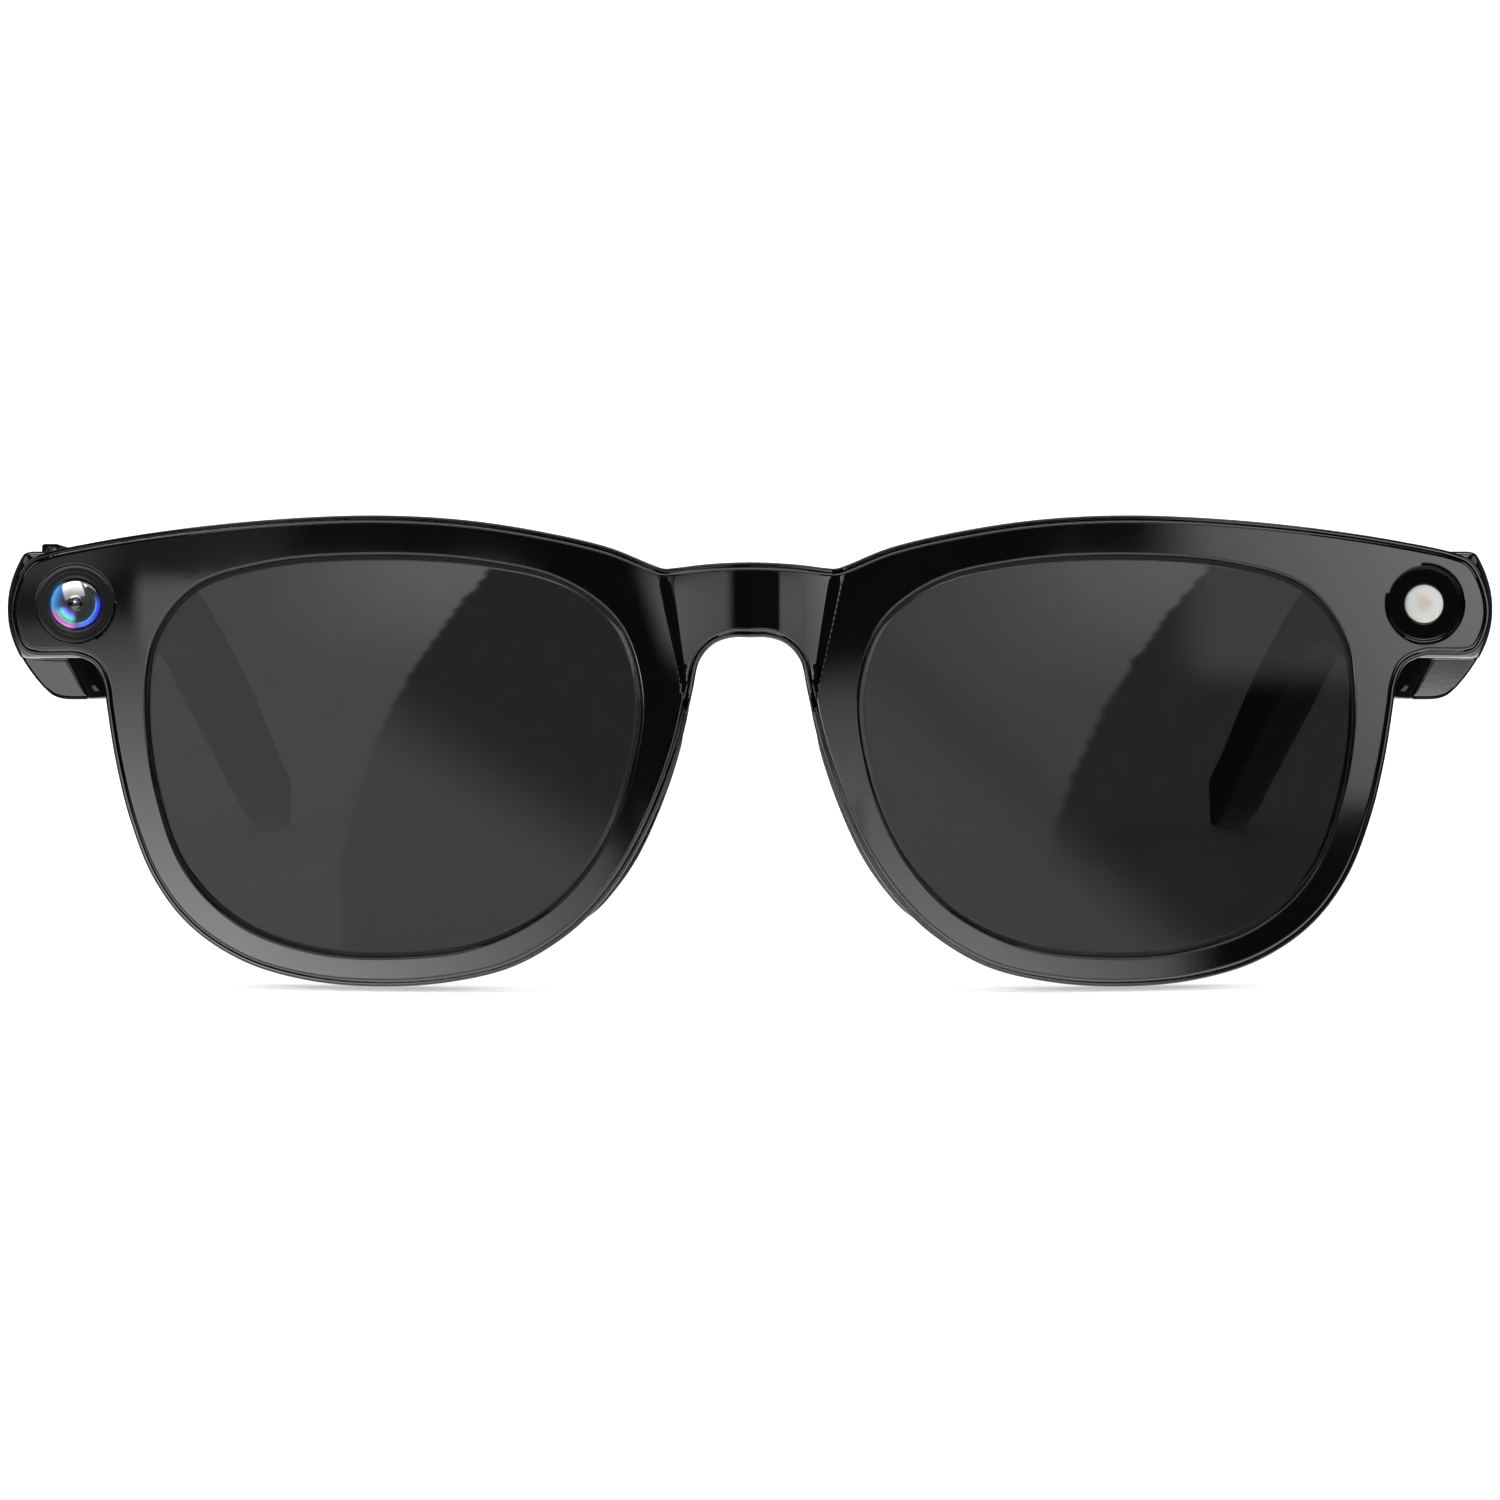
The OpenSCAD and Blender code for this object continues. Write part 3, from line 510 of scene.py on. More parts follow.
class Paint:
    """A material whose shader's sockets are set by name, and helpers that feed them."""

    def __init__(self, name, **sockets):
        self.material = bpy.data.materials.new(name)
        self.material.use_nodes = True
        self.nodes = self.material.node_tree.nodes
        self.links = self.material.node_tree.links
        self.shader = self.nodes["Principled BSDF"]
        self.feed(self.shader, sockets)
        self.place = self.node("TexCoord").outputs["Object"]

    def feed(self, node, values):
        """Sets a node's inputs by name, or links them where the value is another node's output."""
        for name, value in values.items():
            socket = node.inputs[name.replace("_", " ")]
            if isinstance(value, bpy.types.NodeSocket):
                self.links.new(value, socket)
            else:
                socket.default_value = value

    def node(self, kind, settings=(), **values):
        node = self.nodes.new("ShaderNode" + kind)
        for name, value in settings:
            setattr(node, name, value)
        self.feed(node, values)
        return node

    def noise(self, scale, detail=3, stretch=(1, 1, 1)):
        mapping = self.node("Mapping", Vector=self.place, Scale=stretch)
        texture = self.node("TexNoise", Vector=mapping.outputs["Vector"], Scale=scale, Detail=detail)
        return texture.outputs["Fac"]

    def fade(self, value, start, end):
        """0 at start, 1 at end, smooth between."""
        smooth = [("interpolation_type", "SMOOTHSTEP")]
        return self.node("MapRange", smooth, Value=value, From_Min=start, From_Max=end).outputs["Result"]

    def mix(self, value, low, high):
        """From one colour to another as the value goes from 0 to 1."""
        mix = self.node("Mix", [("data_type", "RGBA")], Factor=value, A=low, B=high)
        return mix.outputs["Result"]

    def spread(self, value, low, high):
        """Gives a roughness from low to high, for noise that goes from 0.3 to 0.7."""
        ramp = self.node("MapRange", Value=value, From_Min=0.3, From_Max=0.7, To_Min=low, To_Max=high)
        self.feed(self.shader, {"Roughness": ramp.outputs["Result"]})
        return self

    def tones(self, value, low, high):
        self.feed(self.shader, {"Base Color": self.mix(value, (*low, 1), (*high, 1))})
        return self

    def bump(self, value, strength, depth):
        bump = self.node("Bump", Strength=strength, Distance=depth * MM, Height=value)
        self.feed(self.shader, {"Normal": bump.outputs["Normal"]})
        return self


def moulded(name, shade, rough, grain=2600, depth=0.004):
    """Black moulded plastic: an even colour with slight flow marks, and a gloss with a very fine texture."""
    paint = Paint(name, IOR=1.5)
    paint.tones(paint.noise(60), (shade * 0.8,) * 3, (shade * 1.2, shade * 1.2, shade * 1.25))
    paint.spread(paint.noise(140), rough * 0.8, rough * 1.25)
    return paint.bump(paint.noise(grain, 2), 0.12, depth).material


def metal(name, colour, rough, stretch=(1, 1, 1)):
    paint = Paint(name, Metallic=1.0)
    darker = tuple(c * 0.82 for c in colour)
    paint.tones(paint.noise(900, stretch=stretch), darker, colour)
    paint.spread(paint.noise(1600, stretch=stretch), rough * 0.7, rough * 1.3)
    return paint.bump(paint.noise(2400, stretch=stretch), 0.15, 0.004).material


def solid(name, low, high, rough):
    paint = Paint(name)
    paint.tones(paint.noise(500), low, high)
    paint.spread(paint.noise(1000), rough * 0.8, rough * 1.2)
    return paint.bump(paint.noise(1500), 0.15, 0.01).material


def glass(name, tint, rough):
    paint = Paint(name, Transmission_Weight=1.0, IOR=1.5)
    paint.tones(paint.noise(40), tuple(t * 0.97 for t in tint), tint)
    return paint.spread(paint.noise(200), rough * 0.5, rough).material


frame_black = moulded("frame_black", 0.0012, 0.05)
fascia_black = moulded("fascia_black", 0.001, 0.035, depth=0.0015)
cover_black = moulded("cover_black", 0.008, 0.24, grain=4200, depth=0.012)
pad_black = moulded("pad_black", 0.0015, 0.07)
button_black = moulded("button_black", 0.01, 0.22, depth=0.01)
lens_glass = glass("lens_glass", (0.011, 0.011, 0.0113), 0.004)
ring_black = moulded("ring_black", 0.009, 0.3, grain=4000, depth=0.003)
barrel_black = moulded("barrel_black", 0.006, 0.4, grain=5000, depth=0.02)
clear_glass = glass("clear_glass", (0.9, 0.93, 1.0), 0.002)
hinge_steel = metal("hinge_steel", (0.5, 0.5, 0.52), 0.24, stretch=(1, 1, 12))
pin_steel = metal("pin_steel", (0.62, 0.62, 0.64), 0.18)
screw_steel = metal("screw_steel", (0.55, 0.55, 0.57), 0.2)
shield_steel = metal("shield_steel", (0.62, 0.62, 0.64), 0.25)
cell_foil = metal("cell_foil", (0.66, 0.67, 0.7), 0.35)
contact_gold = metal("contact_gold", (0.95, 0.7, 0.3), 0.16)
magnet_nickel = metal("magnet_nickel", (0.7, 0.7, 0.72), 0.15)
mesh_black = metal("mesh_black", (0.05, 0.05, 0.052), 0.4)
board_green = solid("board_green", (0.01, 0.1, 0.03), (0.02, 0.17, 0.06), 0.35)
board_white = solid("board_white", (0.75, 0.75, 0.7), (0.86, 0.86, 0.82), 0.4)
flex_amber = solid("flex_amber", (0.55, 0.22, 0.03), (0.75, 0.36, 0.07), 0.25)
switch_ivory = solid("switch_ivory", (0.6, 0.58, 0.5), (0.72, 0.7, 0.62), 0.4)
speaker_black = solid("speaker_black", (0.012, 0.012, 0.012), (0.03, 0.03, 0.03), 0.5)

# ---- Front ----

FRONT_T = 5.0
FASCIA_T = 1.5
FASCIA_INSET = 0.56
LIP = 0.6  # how far the frame's edge round the fascia lies behind the face

fascia_edge = [
    *round_edge(FASCIA_INSET, 0.22, 0.3, 0.22, 0, 90),
    (FASCIA_INSET, FASCIA_T - 0.05, 90),
    (FASCIA_INSET + 0.05, FASCIA_T, 180),
]
opening_edge = [*round_edge(0, 0.26, 0.26, 0.26, 0, 90), (0, FASCIA_T - 0.05, 90), (0.05, FASCIA_T, 180)]
port_edge = [*round_edge(0, 0.12, 0.12, 0.12, 0, 90), (0, FASCIA_T - 0.05, 90), (0.05, FASCIA_T, 180)]
plate(
    "fascia_plate",
    [
        (outline, fascia_edge),
        (lens_outline, opening_edge),
        (mirrored(lens_outline), opening_edge),
        (port(PORT_X, PORT_Z, PORT_R, 94, 166, -0.32), port_edge),
        (port(-PORT_X, PORT_Z, PORT_R - 0.1, 300, 368, 0.22), port_edge),
    ],
    face_surface, "front", fascia_black, "fascia_black", creased=True, stands_for=("front_fascia",),
)

recess = FASCIA_INSET - 0.13  # leaves a seam of 0.13 round the fascia
frame_edge = [
    (recess, FASCIA_T + 0.06, 0),
    (recess, FASCIA_T, -60),
    (recess, LIP + 0.06, -90),
    (recess - 0.03, LIP + 0.01, -45),
    (recess - 0.08, LIP, 0),
    (0.24, LIP, 0),
    *round_edge(0, LIP + 0.24, 0.24, 0.24, 10, 90),
    (0, FRONT_T - 0.9, 90),
    *round_edge(0, FRONT_T - 0.8, 0.8, 0.8, 100, 180),
]
LENS_SEAT = 3.25  # how far the lens's seat lies behind the face
rebate = 0.75
frame_opening = [
    (rebate, FASCIA_T + 0.06, 0),
    (rebate, FASCIA_T + 0.1, 60),
    (rebate, LENS_SEAT - 0.1, 90),
    (rebate - 0.05, LENS_SEAT, 30),
    (0.1, LENS_SEAT, 0),
    (0, LENS_SEAT + 0.1, 60),
    (0, 4.7, 90),
    *round_edge(0, FRONT_T - 0.3, 0.3, 0.3, 100, 180),
]
frame_port = [
    (0.05, FASCIA_T + 0.06, 0),
    (0, FASCIA_T + 0.11, 90),
    (0, FRONT_T - 0.05, 90),
    (0.05, FRONT_T, 180),
]
plate(
    "front_rims",
    [
        (outline, frame_edge),
        (lens_outline, frame_opening),
        (mirrored(lens_outline), frame_opening),
        (port(PORT_X, PORT_Z, PORT_R), frame_port),
        (port(-PORT_X, PORT_Z, PORT_R), frame_port),
    ],
    face_surface, "front", frame_black, "frame_black", creased=True, stands_for=("front_frame",),
)

BLOCK_X, NOTCH_X, NOTCH_Y, END_Y = 62.6, 69.3, 19.4, 22.3  # inner side, hinge notch and end of an end piece
FLARE = math.tan(math.radians(7))
OUTER_X, TEMPLE_LOW, TEMPLE_HIGH = 77, 5.2, 20.6  # a temple's outer side, bottom and top at the hinge
FOOT_Z = 9.35  # bottom of an end piece
WIDEST = 0.6  # share of a temple's height at which it is widest
BULGE_TOP, BULGE_BOTTOM = 2.0, 4.9  # how far its top and bottom curve in from there at the hinge


def side_curve(v, bulge_top, bulge_bottom):
    """How far the outer side lies inside its widest point at share v of its height."""
    if v > WIDEST:
        return bulge_top * ((v - WIDEST) / (1 - WIDEST)) ** 2
    return bulge_bottom * ((WIDEST - v) / WIDEST) ** 2


def end_ring(y, x_in, shrink=0.0):
    """Section of an end piece at y. The outer side is the part of the temple's that lies above FOOT_Z."""
    top = 20.1 + (y - 9.5) / (END_Y - 9.5) * 0.5
    x = OUTER_X - (END_Y - y) * FLARE
    sides = []
    for k in range(15):
        z = FOOT_Z + shrink + (top - FOOT_Z - 2 * shrink) * k / 14
        v = (z - TEMPLE_LOW) / (TEMPLE_HIGH - TEMPLE_LOW)
        sides.append((x - shrink - side_curve(v, BULGE_TOP, BULGE_BOTTOM), z))
    corners = [(x_in + shrink, FOOT_Z + shrink), *sides, (x_in + shrink, top - shrink)]
    radii = [0.3, 0.7, *[0] * (len(sides) - 2), 0.7, 0.3]
    return [(p.x, y, p.y) for p in rounded(corners, radii)]


FOLLOW_Y = 10.4  # the front rings of an end piece have the section at this y and follow the face
end_front = ((2.05, 1.2), (2.1, 0.95), (2.25, 0.6), (2.5, 0.3), (2.9, 0.1), (3.4, 0.0))

for side, name in SIDES:
    front_rings = []
    for depth, shrink in end_front:
        ring = end_ring(FOLLOW_Y, BLOCK_X, shrink)
        front_rings.append([(x, face(x, z)[0] + depth, z) for x, y, z in ring])
    straight = [end_ring(y, BLOCK_X) for y in (12.6, 14.5, 17, NOTCH_Y - 0.2)]
    straight += [end_ring(NOTCH_Y - 0.06, BLOCK_X + 0.06), end_ring(NOTCH_Y, BLOCK_X + 0.2)]
    back = [end_ring(NOTCH_Y, NOTCH_X - 0.15), end_ring(NOTCH_Y + 0.15, NOTCH_X)]
    back += [end_ring(y, NOTCH_X) for y in (20.5, END_Y - 0.25)]
    back += [end_ring(END_Y - 0.06, NOTCH_X, 0.08), end_ring(END_Y, NOTCH_X, 0.25)]
    loft(
        f"{name}_end_piece", [*front_rings, *straight, *back], "front", frame_black, "frame_black",
        side=side, stands_for=("front_frame",),
    )

# ---- Lenses ----

LENS_T = 2.0
LENS_STEP = 1.3  # depth of the flange that holds the lens behind the fascia
LENS_LIP = 0.65  # how far the flange stands out under the rim
lens_rim = [
    (0.6, 0, 0),
    (0.5, 0.01, 9),
    (0.12, 0.08, 13),
    (0.05, 0.12, 45),
    (0.03, 0.18, 90),
    (0.03, LENS_STEP - 0.02, 90),
    (0.02, LENS_STEP, 45),
    (-LENS_LIP + 0.05, LENS_STEP, 20),
    (-LENS_LIP, LENS_STEP + 0.05, 90),
    *round_edge(-LENS_LIP, LENS_T - 0.1, 0.1, 0.1, 90, 180, 3),
]
for side, name in SIDES:
    plate(
        f"{name}_lens_tinted", [(lens_outline, lens_rim)], lens_surface, "front", lens_glass, "lens_grey",
        side=side, stands_for=(f"{name}_lens",),
    )

# ---- Nose pads ----

# The pad's two edges seen from the front, from the bottom up: (x, z), and its crown: (y, z).
pad_nose_side = [(17.4, -18.2), (14.5, -15.25), (11.55, -11.2), (8.73, -5.08), (6.8, 1), (6.35, 4.5)]
pad_rim_side = [(18.6, -17.2), (17.4, -14.6), (14.6, -10.5), (12.2, -5), (10.4, 1), (8.4, 4.8)]
pad_crown = [(6.6, -19), (9.6, -16.6), (11, -12), (10.9, -6), (9.6, 0), (7.0, 4.7)]
PAD_TAPER = 0.16  # share of the pad's length over which each end rounds off
PAD_END = 0.05  # size of its last sections
PAD_SUNK = 0.6  # how far its foot reaches into the frame


def nose_pad(side, name):
    """A soft-edged wedge behind the nose side of a rim, swept up along its two edges."""
    count = 40
    nose = even(open_curve(pad_nose_side, 8), count)
    rim = even(open_curve(pad_rim_side, 8), count)
    crown = even(open_curve(pad_crown, 8), count)
    rings = []
    for k in range(count):
        from_end = min(k, count - 1 - k) / (count - 1)
        size = 1
        if from_end < PAD_TAPER:
            size = max(PAD_END, math.sqrt(max(0.0, 1 - (1 - from_end / PAD_TAPER) ** 2)))
        middle = (nose[k] + rim[k]) / 2
        a, b = middle + (nose[k] - middle) * size, middle + (rim[k] - middle) * size
        floor = face(middle.x, middle.y)[0] + FRONT_T - PAD_SUNK
        height = max(0.1, (crown[k].x - floor) * size)
        corners = [(0, 0), (1, 0), (1, 0.45 * height), (0.62, height), (0.25, height), (0, 0.6 * height)]
        corners = [(u, floor + y) for u, y in corners]
        flat = rounded(corners, [0.02, 0.02, 0.3, 0.25, 0.2, 0.3], 4)
        rings.append([(a.x + (b.x - a.x) * u, y, a.y + (b.y - a.y) * u) for u, y in flat])
    loft(
        f"{name}_nose_pad_soft", rings, "front", pad_black, "nose_pad_black",
        side=side, stands_for=(f"{name}_nose_pad",),
    )


for side, name in SIDES:
    nose_pad(side, name)

# ---- Temples ----

top_curve = open_curve(temple_top, 10)
bottom_curve = open_curve(temple_bottom, 10)
outer_curve = open_curve(temple_outer, 8)
inner_curve = open_curve(temple_inner, 8)
TIP = Vector((150.2, -6))


def width_at(y):
    """Inner and outer face of a temple in plan at y."""
    return at_y(inner_curve, y).y, at_y(outer_curve, y).y


def at_y(curve, y):
    """The point of a curve at y. Curves here run steadily backwards."""
    return Vector((y, float(np.interp(y, [p.x for p in curve], [p.y for p in curve]))))


def stretch(curve, start, end, count):
    """count points of a curve from y = start to y = end, without the last one."""
    between = [p for p in curve if start + 0.01 < p.x < end - 0.01]
    return even([at_y(curve, start), *between, at_y(curve, end)], count + 1)[:-1]


# y on the top edge and on the bottom edge of one section, and the number of sections from there to the next.
pairings = [
    (22.45, 22.45, 14), (45, 45, 12), (70, 70, 10), (88, 84, 10), (98, 93, 12), (115, 106.5, 12),
    (136, 130, 8), (143, 138, 6), (147, 144.5, 12), (150.2, 150.2, 0),
]


def temple_sections():
    """(bottom point, top point) of each section in side view, from the hinge to the tip."""
    tops, bottoms = [], []
    for (t0, b0, n), (t1, b1, _) in zip(pairings, pairings[1:]):
        tops += stretch(top_curve, t0, t1, n)
        bottoms += stretch(bottom_curve, b0, b1, n)
    return list(zip(bottoms, tops))


COVER_RIM = 0.85  # the shell's edge round the inner cover
COVER_DEEP = 0.75  # depth of the step in the shell for it
LEAF_START, LEAF_RUN = 24.4, 4.2  # where the cut for the hinge starts to slope back, and over how far
LEAF_END = LEAF_START + LEAF_RUN


def inner_side(inner, middle, height, rim_v, shrink, step, corner):
    """Inner side of a temple's section, cut away at the hinge: its foot, and corners and radii from the top."""
    gone = (middle - LEAF_START) / LEAF_RUN
    notch = blend(1, 0, gone) if middle < LEAF_END else 0
    cut = max(inner, NOTCH_X + (inner - NOTCH_X) * max(0, gone)) if middle < LEAF_END else inner
    kink = 0.26
    low, bend, high = cut - 0.9 * notch + shrink, cut + 1.3 * notch + shrink, cut + 0.2 * notch + shrink
    foot = low + (bend - low) * min(1, rim_v / kink)
    top_down = [
        (high, (1 - rim_v) * height),
        (high + step, (1 - rim_v) * height - 0.001),
        (high + step, 0.55 * height),
        (bend + step, kink * height),
        (foot + step, rim_v * height + 0.001),
        (foot, rim_v * height),
    ]
    return (low, shrink), [(high, height - shrink), *top_down], [min(0.5, corner), *[0] * len(top_down)]


def temple_frame(bottom, top, rim):
    """A temple's section: its y, height, middle x, half width, the rim's share of the height, and the function
    that places its points."""
    middle = (bottom + top) / 2
    height = (top - bottom).length
    inner, outer = width_at(middle.x)
    near_tip = min(1.0, max(0.0, (TIP - middle).length / 3.2))
    pinch = math.sqrt(max(0.02, 1 - (1 - near_tip) ** 2))
    mid_x = (inner + outer) / 2
    half = (outer - inner) / 2 * pinch

    def at(x, v):
        p = bottom + (top - bottom) * v
        shift = sum(width_at(p.x)) / 2 - mid_x if middle.x > 60 else 0
        return (x + shift, p.x, p.y)

    return middle.x, height, mid_x, half, min(rim / max(height, 0.01), 0.5), at


def temple_ring(bottom, top, shrink=0.0, step=0.0):
    """Section of a temple's shell, with a step of that depth for the cover."""
    middle, height, mid_x, half, rim_v, at = temple_frame(bottom, top, COVER_RIM)
    outer = mid_x + half - shrink
    front = blend(1, 0, (middle - 40) / 50)
    scale = min(1, half / 2.2)
    bulges = (0.7 + (BULGE_TOP - 0.7) * front) * scale, (0.9 + (BULGE_BOTTOM - 0.9) * front) * scale
    corner = min(1.5 * (1 - front) + 0.6 * front, half * 0.8, height * 0.3)
    low_corner = min(1.5, half * 0.8, height * 0.3)
    foot, inner_corners, inner_radii = inner_side(mid_x - half, middle, height, rim_v, shrink, step, corner)
    shares = [0.09 + 0.82 * k / 14 for k in range(15)]
    corners = [
        foot,
        (outer - side_curve(0.0, *bulges), shrink),
        *[(outer - side_curve(v, *bulges), v * height) for v in shares],
        (outer - side_curve(1.0, *bulges), height - shrink),
        *inner_corners,
    ]
    radii = [min(0.5, corner), low_corner, *[0] * len(shares), corner, *inner_radii]
    return [at(p.x, p.y / height) for p in rounded(corners, radii)]


def cover_ring(bottom, top, rim=COVER_RIM):
    """Section of a temple's inner cover."""
    _, height, mid_x, half, _, at = temple_frame(bottom, top, rim)
    gap = min(rim + 0.07, 0.5 * height)
    x0, x1 = mid_x - half + 0.02, mid_x - half + 1.1
    corners = [(x0, gap), (x1, gap), (x1, height - gap), (x0, height - gap)]
    return [at(p.x, p.y / height) for p in rounded(corners, [0.18, 0, 0, 0.18], 3)]


COVER_Y = 30
sections = temple_sections()


def temple_rings():
    """The shell's rings. The first two lie at the same place, so that the front end mirrors like a flat."""
    first = sections[0]
    rings = [
        temple_ring(*first, shrink=0.45),
        temple_ring(*first, shrink=0.3),
        [(x, y + 0.06, z) for x, y, z in temple_ring(*first, shrink=0.1)],
    ]
    before = True
    for bottom, top in sections[1:]:
        middle = (bottom.x + top.x) / 2
        if before and middle > COVER_Y - 0.15:
            for step, y in ((0.0, COVER_Y - 0.14), (COVER_DEEP, COVER_Y - 0.1)):
                rings.append(temple_ring(at_y(bottom_curve, y), at_y(top_curve, y), step=step))
            before = False
        open_share = min(1, max(0, (top - bottom).length - 2.0))
        rings.append(temple_ring(bottom, top, step=0 if before else COVER_DEEP * open_share))
    return rings


def cover_rings():
    first = at_y(bottom_curve, COVER_Y), at_y(top_curve, COVER_Y)
    rings = [cover_ring(*first, rim=1.0), [(x, y + 0.12, z) for x, y, z in cover_ring(*first)]]
    for bottom, top in sections:
        if (bottom.x + top.x) / 2 > COVER_Y + 0.4 and (top - bottom).length > 3.2:
            rings.append(cover_ring(bottom, top))
    return rings


for side, name in SIDES:
    body, arm, inlay = f"{name}_temple", f"{name}_temple_shell", f"{name}_temple_cover"
    loft(body + "_arm", temple_rings(), body, frame_black, "frame_black", side=side, stands_for=(arm,))
    loft(body + "_inlay", cover_rings(), body, cover_black, "cover_black", side=side, stands_for=(inlay,))

# ---- Camera and lamp ----

PORT_Y = 7.1  # depth of the face at the ports
WINDOW_R = 2.65
BALL_R = 0.64  # the small bright lens in the middle of the camera's window


def on_front(name, side, profile, paint, slot, node):
    """A turned piece in the camera's port (RIGHT) or the lamp's (LEFT)."""
    centre = (PORT_X, PORT_Y, PORT_Z)
    return turned(name, profile, centre, "front", paint, slot, side=side, stands_for=(node,))


on_front(
    "camera_ring",
    RIGHT,
    [
        (2.66, 0.5), (2.72, 0.36), (2.85, 0.31), (3.2, 0.3), (3.24, 0.33), (3.28, 0.3), (3.6, 0.29),
        (3.64, 0.32), (3.68, 0.29), (3.8, 0.27), (3.88, 0.2), (3.93, 0.24), (3.95, 0.34), (3.95, 1.5),
        (4.05, 1.55), (4.05, 2.4), (2.7, 2.4), (2.66, 2.3),
    ],
    ring_black,
    "camera_ring",
    "camera_bezel",
)


def painted_reflection_glass(name):
    """Coated camera glass whose base colour holds painted reflections of the coating: fine dark rings, a
    painted light blue reflection at one side, and a painted bow of violet to green below. Its coat adds real
    reflections.
    """
    paint = Paint(name, IOR=1.6, Coat_Weight=0.6, Coat_Roughness=0.01, Roughness=0.08)

    def calculate(operation, *values):
        node = paint.node("Math", [("operation", operation)])
        for socket, value in zip(node.inputs, values):
            if isinstance(value, float):
                socket.default_value = value
            else:
                paint.links.new(value, socket)
        return node.outputs["Value"]

    place = paint.node("SeparateXYZ", Vector=paint.place)
    middle = row(-PORT_X, PORT_Y, PORT_Z)
    across = calculate("SUBTRACT", place.outputs["X"], middle.x)
    up = calculate("DIVIDE", calculate("SUBTRACT", place.outputs["Z"], middle.z), COSINE)
    squares = calculate("ADD", calculate("POWER", across, 2.0), calculate("POWER", up, 2.0))
    radius = calculate("DIVIDE", calculate("SQRT", squares), WINDOW_R * MM)
    turn = calculate("ARCTAN2", up, across)

    def rings(*stops):
        """Colours from the middle of the glass to its edge, as (share of the radius, colour) pairs."""
        node = paint.node("ValToRGB", Fac=radius)
        elements = node.color_ramp.elements
        for element, (place, colour) in zip(elements, (stops[0], stops[-1])):
            element.position = place
            element.color = (*colour, 1)
        for place, colour in stops[1:-1]:
            elements.new(place).color = (*colour, 1)
        return node.outputs["Color"]

    def towards(angle, width):
        """1 in that direction, in degrees, fading to 0 over the width at both sides."""
        difference = calculate("SUBTRACT", turn, math.radians(angle))
        off = calculate("ABSOLUTE", calculate("WRAP", difference, math.pi, -math.pi))
        return paint.fade(off, math.radians(width), math.radians(width * 0.45))

    black = (0.0, 0.0, 0.0)
    # Dim blue-grey in the middle, a faint warm lighter ring at the small lens's edge, and fine dark rings
    # outwards.
    colour = rings(
        (0.0, (0.05, 0.05, 0.08)), (0.14, (0.03, 0.03, 0.05)), (0.2, (0.02, 0.016, 0.01)),
        (0.235, (0.06, 0.055, 0.05)), (0.26, (0.003, 0.003, 0.004)), (0.31, (0.004, 0.004, 0.008)),
        (0.4, (0.02, 0.018, 0.03)), (0.44, (0.003, 0.003, 0.006)), (0.53, (0.02, 0.018, 0.028)),
        (0.57, (0.002, 0.002, 0.004)), (0.67, (0.014, 0.012, 0.018)), (0.72, (0.001, 0.001, 0.002)),
        (1.0, (0.01, 0.01, 0.012)),
    )
    # Painted reflections of the coating, laid into the base colour: light blue at one side, deep blue low down,
    # and a bow of violet to green.
    side_blue_reflection = rings(
        (0.33, black), (0.45, (0.003, 0.015, 0.04)), (0.62, (0.01, 0.06, 0.16)), (0.78, (0.03, 0.16, 0.5)),
        (0.9, (0.1, 0.4, 0.85)), (1.0, (0.03, 0.2, 0.6)),
    )
    low_blue_reflection = rings(
        (0.6, black), (0.74, (0.005, 0.01, 0.06)), (0.78, (0.06, 0.45, 0.9)), (0.82, (0.02, 0.1, 0.7)),
        (0.93, (0.02, 0.03, 0.75)), (1.0, (0.002, 0.004, 0.2)),
    )
    bow = rings(
        (0.3, black), (0.42, (0.12, 0.1, 0.75)), (0.53, (0.25, 0.35, 0.9)), (0.62, (0.1, 0.75, 0.75)),
        (0.7, (0.02, 0.45, 0.25)), (0.78, (0.25, 0.4, 0.35)), (0.85, (0.4, 0.06, 0.45)),
        (0.93, (0.85, 0.3, 0.85)), (1.0, (0.3, 0.05, 0.35)),
    )
    for angle, width, band in ((172, 62, side_blue_reflection), (322, 66, low_blue_reflection), (232, 44, bow)):
        colour = paint.mix(towards(angle, width), colour, band)
    paint.feed(paint.shader, {"Base Color": colour})
    return paint.spread(paint.noise(300), 0.05, 0.09).material


coated_glass = painted_reflection_glass("coated_glass")
ball = [(BALL_R * math.sin(a), 0.42 - 0.4 * math.cos(a)) for a in [math.radians(d) for d in range(0, 90, 6)]]
dome = [(WINDOW_R * math.sin(a), 0.9 - 0.5 * math.cos(a)) for a in [math.radians(d) for d in range(15, 90, 5)]]
window = [*ball, *dome, (WINDOW_R, 0.95), (2.6, 1.1), (0, 1.1)]
element = [(0, 1.2), (0.7, 1.25), (1.3, 1.5), (1.45, 1.7), (1.45, 3.3), (0, 3.3)]
tube = [
    (1.6, 1.25), (2.2, 1.25), (2.3, 1.35), (2.3, 2.5), (2.95, 2.5), (3.0, 2.55), (3.0, 7.8), (2.9, 7.9),
    (1.0, 7.9), (1.0, 3.4), (1.5, 3.35), (1.5, 1.4),
]
lamp_ring = [
    (1.99, 1.1), (2.03, 0.98), (2.15, 0.94), (3.4, 1.0), (3.62, 0.94), (3.72, 0.8), (3.76, 0.45), (3.82, 0.35),
    (3.9, 0.33), (3.95, 0.4), (3.95, 1.5), (4.05, 1.55), (4.05, 3.0), (2.1, 3.0), (1.99, 2.9),
]
# The window's base colour holds painted reflections of the coating; its coat and the window wall give real
# ones.
on_front("camera_window", RIGHT, window, coated_glass, "cover_glass", "camera_cover_glass")
on_front("camera_element", RIGHT, element, clear_glass, "coated_glass", "camera_lens_element")
on_front("camera_tube", RIGHT, tube, barrel_black, "barrel_black", "camera_barrel")
on_front("lamp_ring_gloss", LEFT, lamp_ring, frame_black, "lamp_ring", "lamp_bezel")


